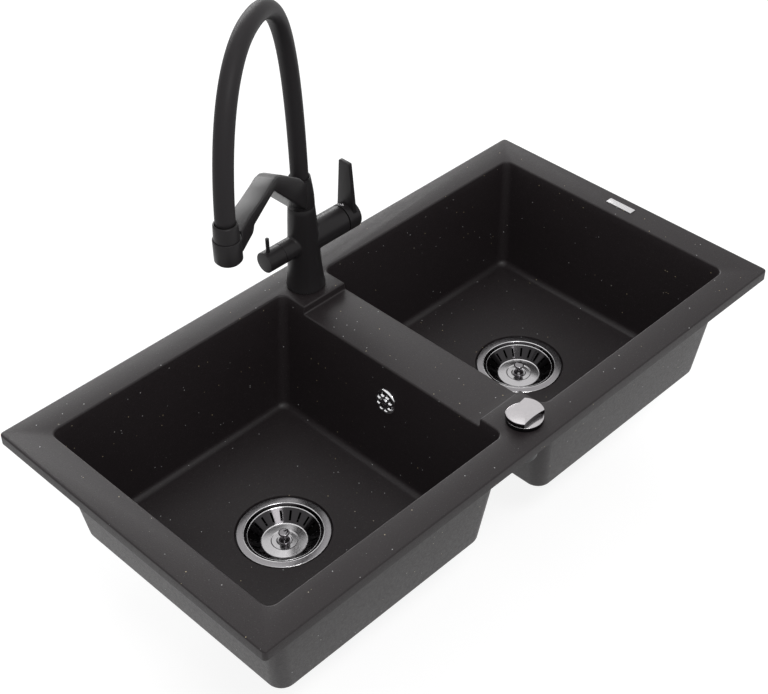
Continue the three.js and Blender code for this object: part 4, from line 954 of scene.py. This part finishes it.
# %% Tubes along a path
def tube(radius, pieces, steps=24, sides=5):
    """A closed tube of Bezier pieces, each as start, two handles and end."""
    data = bpy.data.curves.new("path", "CURVE")
    data.dimensions = "3D"
    data.bevel_depth = radius
    data.bevel_resolution = sides
    data.resolution_u = steps
    data.use_fill_caps = True
    spline = data.splines.new("BEZIER")
    spline.bezier_points.add(len(pieces))
    points = spline.bezier_points
    for i, (start, first, second, end) in enumerate(pieces):
        points[i].co, points[i].handle_right = start, first
        points[i + 1].handle_left, points[i + 1].co = second, end
    points[0].handle_left = Vector(pieces[0][0]) * 2 - Vector(pieces[0][1])
    points[-1].handle_right = Vector(pieces[-1][3]) * 2 - Vector(pieces[-1][2])
    obj = bpy.data.objects.new("path", data)
    scene.collection.objects.link(obj)
    swept = bpy.data.meshes.new_from_object(obj)
    result = bmesh.new()
    result.from_mesh(swept)
    bpy.data.objects.remove(obj)
    bpy.data.curves.remove(data)
    bpy.data.meshes.remove(swept)
    bmesh.ops.remove_doubles(result, verts=result.verts, dist=1e-3)
    bmesh.ops.recalc_face_normals(result, faces=result.faces)
    return result


def straight(start, end):
    a, b = Vector(start), Vector(end)
    return (a, a.lerp(b, 1 / 3), a.lerp(b, 2 / 3), b)


# %% Rosette and its screw
ROSETTE_HOLES = 8
HOLE_CIRCLE = 9.8  # radius on which the holes lie

rosette = lathe([(2.4, 0.3), (15.5, 0.3, 0.2), (15.5, 1.0, 0.4), (13.6, 2.2, 1.6),
                 (6.6, 3.3, 1.6), (4.2, 2.3, 0.8), (2.4, 2.3)], 72)
for i in range(ROSETTE_HOLES):
    angle = math.radians(45 * (i + 0.5))
    drill = lathe([(0, -1), (1.8, -1), (1.8, 1.2), (3.5, 3.4), (3.5, 5), (0, 5)], 24)
    spot = (HOLE_CIRCLE * math.cos(angle), HOLE_CIRCLE * math.sin(angle), 0)
    placed(drill, Matrix.Translation(spot))
    rosette = combine(rosette, drill, "DIFFERENCE")
finish_piece("pierced_rosette", placed(rosette, OVERFLOW), bright_chrome, "sink",
             ["overflow_rosette"])
screw = lathe([(0, -8.5), (2.1, -8.5), (2.1, 2.4), (3.2, 2.4, 0.2), (3.0, 3.3, 0.5), (0, 3.6)], 40)
slit = block(-4, 4, -0.45, 0.45, 2.9, 4.5)
screw = combine(screw, slit, "DIFFERENCE")
finish_piece("rosette_screw", placed(screw, OVERFLOW), bright_chrome, "sink",
             ["overflow_screw"])

# %% Elbow and pipe between the bowls
PIPE_RADIUS = 11.0
ELBOW = (-17, OVERFLOW_Y)  # where the pipe goes down
WALL_BACK = -10.2  # back of the wall, along the axis of the overflow
WASTE_Y = WASTE_PLACE[1]

z = WALL_BACK
flange = lathe([(8.5, z - 3), (17, z - 3, 0.6), (17, z, 0.6), (8.5, z)], 48)
neck = lathe([(0, z - 13), (PIPE_RADIUS, z - 13), (PIPE_RADIUS, z - 1), (0, z - 1)], 40)
down = lathe([(0, -66), (PIPE_RADIUS, -66, 0.4), (PIPE_RADIUS, -31, 3.5), (0, -30)], 40)
bend = gathered(placed(flange, OVERFLOW), placed(neck, OVERFLOW),
                placed(down, Matrix.Translation((*ELBOW, 0))))
finish_piece("overflow_bend", bend, dark_plastic, "sink", ["overflow_elbow"])
pipe = tube(PIPE_RADIUS, [
    straight((*ELBOW, -66.3), (*ELBOW, -137.6)),
    ((*ELBOW, -137.6), (*ELBOW, -157.6), (-27, WASTE_Y, PIPE_Z), (-47, WASTE_Y, PIPE_Z)),
    straight((-47, WASTE_Y, PIPE_Z), (-133.2, WASTE_Y, PIPE_Z)),
], 16)
finish_piece("overflow_tube", pipe, dark_plastic, "sink", ["overflow_pipe"])

# %% [markdown]
# ## Waste knob
#
# The knob is a chromed disc with two hollow cuts, which leave a bar to hold
# and show a crescent of the base on either side. The hollows are wide arcs, so
# they are cut by two great cylinders, one from the front and one from the back.
# The upright faces get a nearly black colour, a painted reflection of the dark composite.

# %% Dish and bar of the knob
KNOB = Matrix.Translation((0, KNOB_Y, 0))
SCOOP_RADIUS = 97
SCOOP_PLACE = 109.8  # from the knob's axis to the axis of each scoop


# Upright faces of the knob, which get a painted dark reflection of the composite.
def on_side(face):
    return abs(face.normal.z) < 0.55


base = lathe([(5.3, 13.3), (21.3, 13.3), (21.3, 18.8, 0.4), (5.3, 19.0)], 96)
# The dish's upright side gets a painted dark reflection.
finish_piece("knob_dish", placed(base, KNOB), satin_chrome, "sink", ["knob_base"],
             trims=[(painted_reflection_steel, on_side)])
bar = lathe([(0, 19.3), (21.8, 19.3, 0.3), (21.8, 25.3, 0.8), (0, 25.3)], 96)
for way in (-1, 1):
    scoop = lathe([(0, 10), (SCOOP_RADIUS, 10), (SCOOP_RADIUS, 40), (0, 40)], 240)
    placed(scoop, Matrix.Translation((0, way * SCOOP_PLACE, 0)))
    bar = combine(bar, scoop, "DIFFERENCE")
stem = lathe([(0, -10.7), (5, -10.7), (5, 20), (0, 20)], 32)
# The upright faces of the bar get a painted dark reflection.
finish_piece("knob_bar", placed(gathered(bar, stem), KNOB), satin_chrome, "knob",
             ["control_knob"], 12, trims=[(painted_reflection_steel, on_side)])

# %% Housing and nut under the knob
housing = lathe([(0, -38), (16.8, -38, 2.0), (16.8, 13), (5.3, 13), (5.3, -11), (0, -11)], 64)
finish_piece("knob_housing", placed(housing, KNOB), dark_plastic, "sink",
             ["control_housing"])
nut = lathe([(17.0, -7.3), (24, -7.3, 1), (24, 0.7, 1), (17.0, 0.7)], 8)
finish_piece("back_nut", placed(nut, KNOB), dark_plastic, "sink", ["control_nut"], 20)

# %% [markdown]
# A sheathed cable carries the knob's turn to the right waste. It comes straight
# out of a gland at either end and bends in two long curves between the bowls,
# because its inner wire would jam in a tight one.

# %% Cable and its glands
CABLE_RADIUS = 3.0
CABLE_START_Z = -30.5
GLAND = [(0, 0), (5.5, 0, 0.5), (5.5, 4, 0.3), (4.6, 4.4), (4.4, 12, 0.8), (0, 12)]

gland = placed(lathe(GLAND, 32), Matrix.Translation((0, 44.1, CABLE_START_Z)) @ Matrix.Rotation(
    -math.pi / 2, 4, "X"))
finish_piece("upper_gland", gland, dark_plastic, "sink", ["cable_gland_upper"])
gland = placed(lathe(GLAND, 32),
               Matrix.Translation((WASTE_PLACE[0] - 50.3, WASTE_Y, PIPE_Z)) @ level(-1))
finish_piece("lower_gland", gland, dark_plastic, "sink", ["cable_gland_lower"])

start, last = Vector((0, 56.4, CABLE_START_Z)), Vector((130.9, WASTE_Y, PIPE_Z))
middle, lean = Vector((22, 154.5, PIPE_Z)), Vector((0.45, 0.9, 0))
cable = tube(CABLE_RADIUS, [
    straight(start, start + Vector((0, 8, 0))),
    (start + Vector((0, 8, 0)), start + Vector((0, 70, 0)), middle - 48 * lean, middle),
    (middle, middle + 48 * lean, last - Vector((50, 0, 0)), last),
    straight(last, last + Vector((10, 0, 0))),
], 24, 3)
finish_piece("bowden_cable", cable, black_rubber, "sink", ["pull_cable"])

# %% [markdown]
# ## Tap
#
# The body is one casting: a slender cone with a level housing for the lever
# cartridge and a thinner sleeve for the side valve. A caster can't make a
# sharp inside corner, so a rolling ball is run round each joint: the track of
# its surface is the fillet, and it meets both surfaces without a seam.

# %% Profile of the body
TAP = Matrix.Translation((0, TAP_Y, RIM_TOP))
CONE = [(0, 1.2), (23.0, 1.2), (23.75, 1.9), (23.72, 2.6), (23.3, 5), (22.5, 10), (21.7, 17),
        (21.0, 25), (20.2, 36), (19.6, 48), (19.1, 60), (18.5, 72), (17.85, 85), (17.2, 98),
        (16.55, 108), (16.1, 114.2), (15.7, 115), (0, 115)]


def cone_radius(z):
    for (r0, z0), (r1, z1) in zip(CONE[4:], CONE[5:]):
        if z <= z1:
            return r0 + (r1 - r0) * (z - z0) / (z1 - z0)
    return CONE[-2][0]


# %% Fillet of a rolling ball
def rolled_fillet(height, radius, ball, sign, count=96, arc=6):
    """The track of a ball rolled round a level tube where it meets the body."""
    rings = [[] for _ in range(arc + 3)]
    for i in range(count):
        a = 2 * math.pi * i / count
        y, z = (radius + ball) * math.sin(a), height + (radius + ball) * math.cos(a)
        reach = cone_radius(z) + ball
        middle = Vector((math.sqrt(max(reach * reach - y * y, 1.0)), y, z))
        to_body = Vector((-middle.x, -middle.y, 0)).normalized()
        to_tube = Vector((0, -math.sin(a), -math.cos(a)))
        places = [middle + (ball + 0.8) * to_body]
        for k in range(arc + 1):
            places.append(middle + ball * to_body.slerp(to_tube, k / arc))
        places.append(middle + (ball + 0.8) * to_tube)
        for ring, place in zip(rings, places):
            ring.append((sign * place.x, place.y, place.z))
    bm = bmesh.new()
    loops = []
    for ring in rings:
        circle = bmesh.new()
        bmesh.ops.create_circle(circle, cap_ends=False, radius=1, segments=count)
        for vert, place in zip(circle.verts, ring):
            vert.co = place
        loops.append(add_loop(bm, circle))
    for first, second in zip(loops, loops[1:] + loops[:1]):
        bmesh.ops.bridge_loops(bm, edges=first + second)
    bmesh.ops.recalc_face_normals(bm, faces=bm.faces)
    return bm


# %% Body with its two side arms
LEVER_Z, LEVER_RADIUS = 64, 18
VALVE_Z, VALVE_RADIUS = 63.5, 13
LEVER_AXIS = Matrix.Translation((0, 0, LEVER_Z)) @ level(1)
VALVE_AXIS = Matrix.Translation((0, 0, VALVE_Z)) @ level(-1)

housing = lathe([(0, 0), (LEVER_RADIUS, 0), (LEVER_RADIUS, 59.5, 0.4), (14.8, 59.5),
                 (14.8, 29.4), (0, 29.4)], 96)
sleeve = lathe([(0, 0), (VALVE_RADIUS, 0), (VALVE_RADIUS, 37, 0.35), (0, 37)], 80)
casting = gathered(
    lathe(CONE, 96), placed(housing, LEVER_AXIS), placed(sleeve, VALVE_AXIS),
    rolled_fillet(LEVER_Z, LEVER_RADIUS, 4.0, 1), rolled_fillet(VALVE_Z, VALVE_RADIUS, 3.0, -1))
finish_piece("tap_casting", placed(casting, TAP), sprayed_black, "sink",
             ["tap_body"], 40)

# %% [markdown]
# ### Lever and side valve
#
# The lever is a drum at the end of the housing with a flat tapering blade in a
# slot on its top; a dark ring shows in the joint. The blade is an outline that
# is extruded and bevelled, as a plate is cut and its edges broken. The valve on
# the other side is a smaller drum with a thin stick.

# %% Lever ring and drum
ring = lathe([(0, 49.7), (4, 49.7), (4, 60), (16, 60), (16, 61, 0.2), (0, 61)], 64)
finish_piece("lever_ring", placed(ring, TAP @ LEVER_AXIS),
             black_rubber, "lever_turner", ["lever_spindle"])
cap = lathe([(0, 61.3), (LEVER_RADIUS, 61.3, 0.4), (LEVER_RADIUS, 80.6, 2.5), (0, 80.6)], 96)
placed(cap, LEVER_AXIS)
cap = combine(cap, block(69.2, 74.8, -14.8, 14.8, LEVER_Z, 90), "DIFFERENCE")
finish_piece("lever_drum", placed(cap, TAP), sprayed_black, "lever", ["lever_cap"])


# %% Blade and its screw
def plate_from(outline, thickness, edge):
    """Extrudes an outline in the XZ plane to both sides and rounds its edges."""
    bm = bmesh.new()
    corners = [bm.verts.new((point[0], -thickness / 2, point[1])) for point in outline]
    for first, second in zip(corners, corners[1:] + corners[:1]):
        bm.edges.new((first, second))
    for corner, point in zip(corners, outline):
        if len(point) == 3:
            bmesh.ops.bevel(bm, geom=[corner], offset=point[2], offset_type="OFFSET",
                            segments=6, profile=0.5, affect="VERTICES", material=-1)
    bmesh.ops.contextual_create(bm, geom=bm.edges[:])
    grown_out = bmesh.ops.extrude_face_region(bm, geom=bm.faces[:])
    moved = [item for item in grown_out["geom"] if isinstance(item, bmesh.types.BMVert)]
    bmesh.ops.translate(bm, vec=(0, thickness, 0), verts=moved)
    bmesh.ops.recalc_face_normals(bm, faces=bm.faces)
    rounded = [e for e in bm.edges if abs(e.verts[0].co.y - e.verts[1].co.y) < 1e-6]
    bmesh.ops.bevel(bm, geom=rounded, offset=edge, offset_type="OFFSET",
                    segments=3, profile=0.5, affect="EDGES", material=-1)
    return bm


paddle = plate_from([(-14.5, 0.3), (14.5, 0.3), (14.5, 10.5), (13.6, 18), (8.75, 77, 1.6),
                     (-8.75, 77, 1.6), (-13.6, 18), (-14.5, 10.5)], 5.0, 0.55)
placed(paddle, Matrix.Translation((72, 0, LEVER_Z)) @ Matrix.Rotation(math.pi / 2, 4, "Z"))
finish_piece("lever_blade", placed(paddle, TAP), sprayed_black, "lever",
             ["lever_paddle"])
screw = lathe([(0, 15), (1.1, 15), (1.1, 18.3), (2.4, 18.3, 0.1), (2.1, 18.9, 0.2),
               (1.1, 18.9), (1.0, 18.3), (0, 18.3)], 32)
finish_piece("blade_screw", placed(screw, TAP @ Matrix.Translation((65.3, 0, LEVER_Z))),
             bright_steel, "lever", ["lever_screw"])

# %% Side valve
drum = lathe([(0, 37.3), (VALVE_RADIUS, 37.3, 0.35), (VALVE_RADIUS, 61.7, 0.8), (0, 61.7)], 80)
finish_piece("valve_drum", placed(drum, TAP @ VALVE_AXIS),
             sprayed_black, "side_valve", ["valve_handle"])
stick = lathe([(0, 8), (2.3, 8), (2.3, 31.5, 0.6), (0, 31.5)], 32)
finish_piece("valve_stick", placed(stick, TAP @ Matrix.Translation((-54.7, 0, VALVE_Z))),
             sprayed_black, "side_valve", ["valve_pin"])

# %% [markdown]
# ### Spout
#
# A collar turns on top of the body and carries an arm that ends in a cup. The
# spray head sits in the cup, and the hose stands free in a tall bow between
# the collar and the head. The whole spout lies in one upright plane, turned
# 211 degrees from the right, so it is drawn flat and turned at the end. The arm
# is a flat bar with two bends: an outline, extruded and bevelled, shows them
# better than a bent tube would.

# %% Collar
SPOUT_TURN = math.radians(211)
SPOUT = TAP @ Matrix.Rotation(SPOUT_TURN, 4, "Z")

collar = lathe([(0, 115.3), (15.7, 115.3), (16.2, 115.9, 0.3), (15.8, 131, 6.0), (13.5, 150, 6.0),
                (12.9, 154, 0.5), (11.4, 154, 0.3), (10.9, 152), (10.9, 141.5), (0, 141.5)], 80)
finish_piece("swivel_ring", placed(collar, SPOUT), sprayed_black, "spout",
             ["swivel_collar"])

# %% Arm with its cup
ARM_REACH = 240
AT_CUP = Matrix.Translation((ARM_REACH, 0, 0))
ARM = [(7.75, 118), (15.5, 120), (118.8, 214.6, 5.0), (187, 217.3), (190, 213), (194, 211),
       (225, 211), (225, 236.2), (198, 236.2), (167.5, 232), (137, 229), (118, 228.0),
       (104, 224.0), (91, 216.7), (31.4, 173.7, 8.0), (9.5, 152.5)]
arm = plate_from(ARM, 22.0, 1.5)
cup = lathe([(0, 211), (14.8, 211, 0.8), (14.8, 236.2, 0.6), (0, 236.2)], 80)
arm = combine(arm, placed(cup, AT_CUP), "UNION")
bore = lathe([(0, 205), (13.8, 205), (13.8, 240), (0, 240)], 80)
arm = combine(arm, placed(bore, AT_CUP), "DIFFERENCE")
finish_piece("spout_bracket", placed(arm, SPOUT), sprayed_black, "spout",
             ["spout_arm"])

# %% Spray head
head = lathe([(0, 211.5), (10.8, 211.5), (10.8, 209), (12.7, 209), (13.5, 209.8, 0.3),
              (13.5, 236.2), (13.5, 238, 1.0), (12.9, 254, 0.8), (11.2, 255, 0.3), (10.9, 251.7),
              (0, 251.7)], 80)
placed(head, AT_CUP)
finish_piece("spray_barrel", placed(head, SPOUT), sprayed_black, "head",
             ["spray_head"])

# %% [markdown]
# The face of the nozzle is rubber with a small nub round each jet, so that scale
# can be rubbed off: one in the middle, six round it and twelve round those.

# %% Nozzle
nozzle = lathe([(0, 208.7), (10.5, 208.7, 0.5), (10.5, 211.2), (0, 211.2)], 64)
for ring_radius, number in ((0.0, 1), (3.6, 6), (7.2, 12)):
    for i in range(number):
        angle = 2 * math.pi * i / number
        nub = lathe([(0, 208.75), (0.85, 208.75), (0.6, 208.0, 0.2), (0, 208.0)], 10)
        spot = (ring_radius * math.cos(angle), ring_radius * math.sin(angle), 0.5)
        nozzle = gathered(nozzle, placed(nub, Matrix.Translation(spot)))
placed(nozzle, AT_CUP)
finish_piece("spray_plate", placed(nozzle, SPOUT), black_rubber, "head",
             ["spray_nozzle"])

# %% [markdown]
# ### Hose
#
# The hose is smooth silicone over a braid, 556 mm long and stiff enough to hold
# its bow. Two Bezier pieces that meet level at the top draw it: straight up out
# of the collar and down into the head.

# %% Hose
HOSE_RADIUS = 10.6
HOSE_TOP = 414
HOSE_MIDDLE = 125  # from the tap's axis to the top of the bow


def on_plane(u, z):
    return Vector((u, 0, z))


top = on_plane(HOSE_MIDDLE, HOSE_TOP)
hose = tube(HOSE_RADIUS, [
    (on_plane(0, 142), on_plane(0, 352), on_plane(40, HOSE_TOP), top),
    (top, on_plane(200, HOSE_TOP), on_plane(234, 343), on_plane(ARM_REACH, 253)),
], 40, 10)
placed(hose, SPOUT)
bmesh.ops.scale(hose, vec=TO_METRES, verts=hose.verts)
for polygon in hose.faces:
    polygon.smooth = True
hose_mesh = bpy.data.meshes.new("silicone_hose")
hose.to_mesh(hose_mesh)
hose.free()
hose_mesh.materials.append(hose_sleeve)
hose_object = bpy.data.objects.new("silicone_hose", hose_mesh)
scene.collection.objects.link(hose_object)
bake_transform(hose_object)
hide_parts("spout_hose")
print("silicone_hose", len(hose_mesh.polygons), "faces")

# %% [markdown]
# ## Fixings of the tap
#
# A wide washer and a nut on a threaded shank pull the tap down on its seal, and
# two inlets come up through the shank. The thread is drawn as plain ridges, as
# its slope can't be seen and a helix would cost far more faces.

# %% Seal and shank
THREAD_TURNS = 18

seal = lathe([(17.5, 0.3), (22.6, 0.3), (22.6, 0.9), (17.5, 0.9)], 64)
finish_piece("foot_seal", placed(seal, TAP), black_rubber, "sink", ["tap_seal"])
shank = lathe([(0, -71), (15.6, -71, 0.5)] + [
    point for i in range(THREAD_TURNS) for point in ((15.7, -69.5 + 3 * i), (16.5, -68 + 3 * i))
] + [(15.7, -15), (16.5, -14), (16.5, 0.9), (0, 0.9)], 48)
for way in (-1, 1):
    inlet = lathe([(0, -75), (5.2, -75), (5.2, -51), (0, -51)], 24)
    shank = combine(shank, placed(inlet, Matrix.Translation((way * 7.5, 0, 0))), "DIFFERENCE")
finish_piece("threaded_shank", placed(shank, TAP), turned_brass, "sink", ["tap_shank"])

# %% Washer, nut and cartridge
washer = lathe([(16.8, -14.3), (24, -14.3, 0.4), (24, -12.3, 0.4), (16.8, -12.3)], 64)
finish_piece("wide_washer", placed(washer, TAP), plate_steel, "sink", ["tap_washer"])
nut = lathe([(16.6, -23.6), (23, -23.6, 0.8), (23, -14.6, 0.8), (16.6, -14.6)], 6)
finish_piece("hexagon_nut", placed(nut, TAP), turned_brass, "sink", ["tap_nut"], 20)
insert = lathe([(0, 29.7), (14.5, 29.7, 0.5), (14.5, 59.7, 0.3), (4.3, 59.7), (4.3, 49),
                (0, 49)], 48)
finish_piece("mixing_cartridge", placed(insert, TAP @ LEVER_AXIS),
             dark_plastic, "sink", ["cartridge"])

# %% [markdown]
# ## Sizes
#
# At the end the box of the dressed sink is printed beside the box of the measured
# solids. The two should be the same.

# %% Print the sizes
def save_sizes():
    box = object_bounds()
    sizes = {
        "cad": [list(corner) for corner in cad_box],
        "visual": [list(corner) for corner in box],
    }
    print("cad", sizes["cad"], "visual", sizes["visual"])


save_sizes()
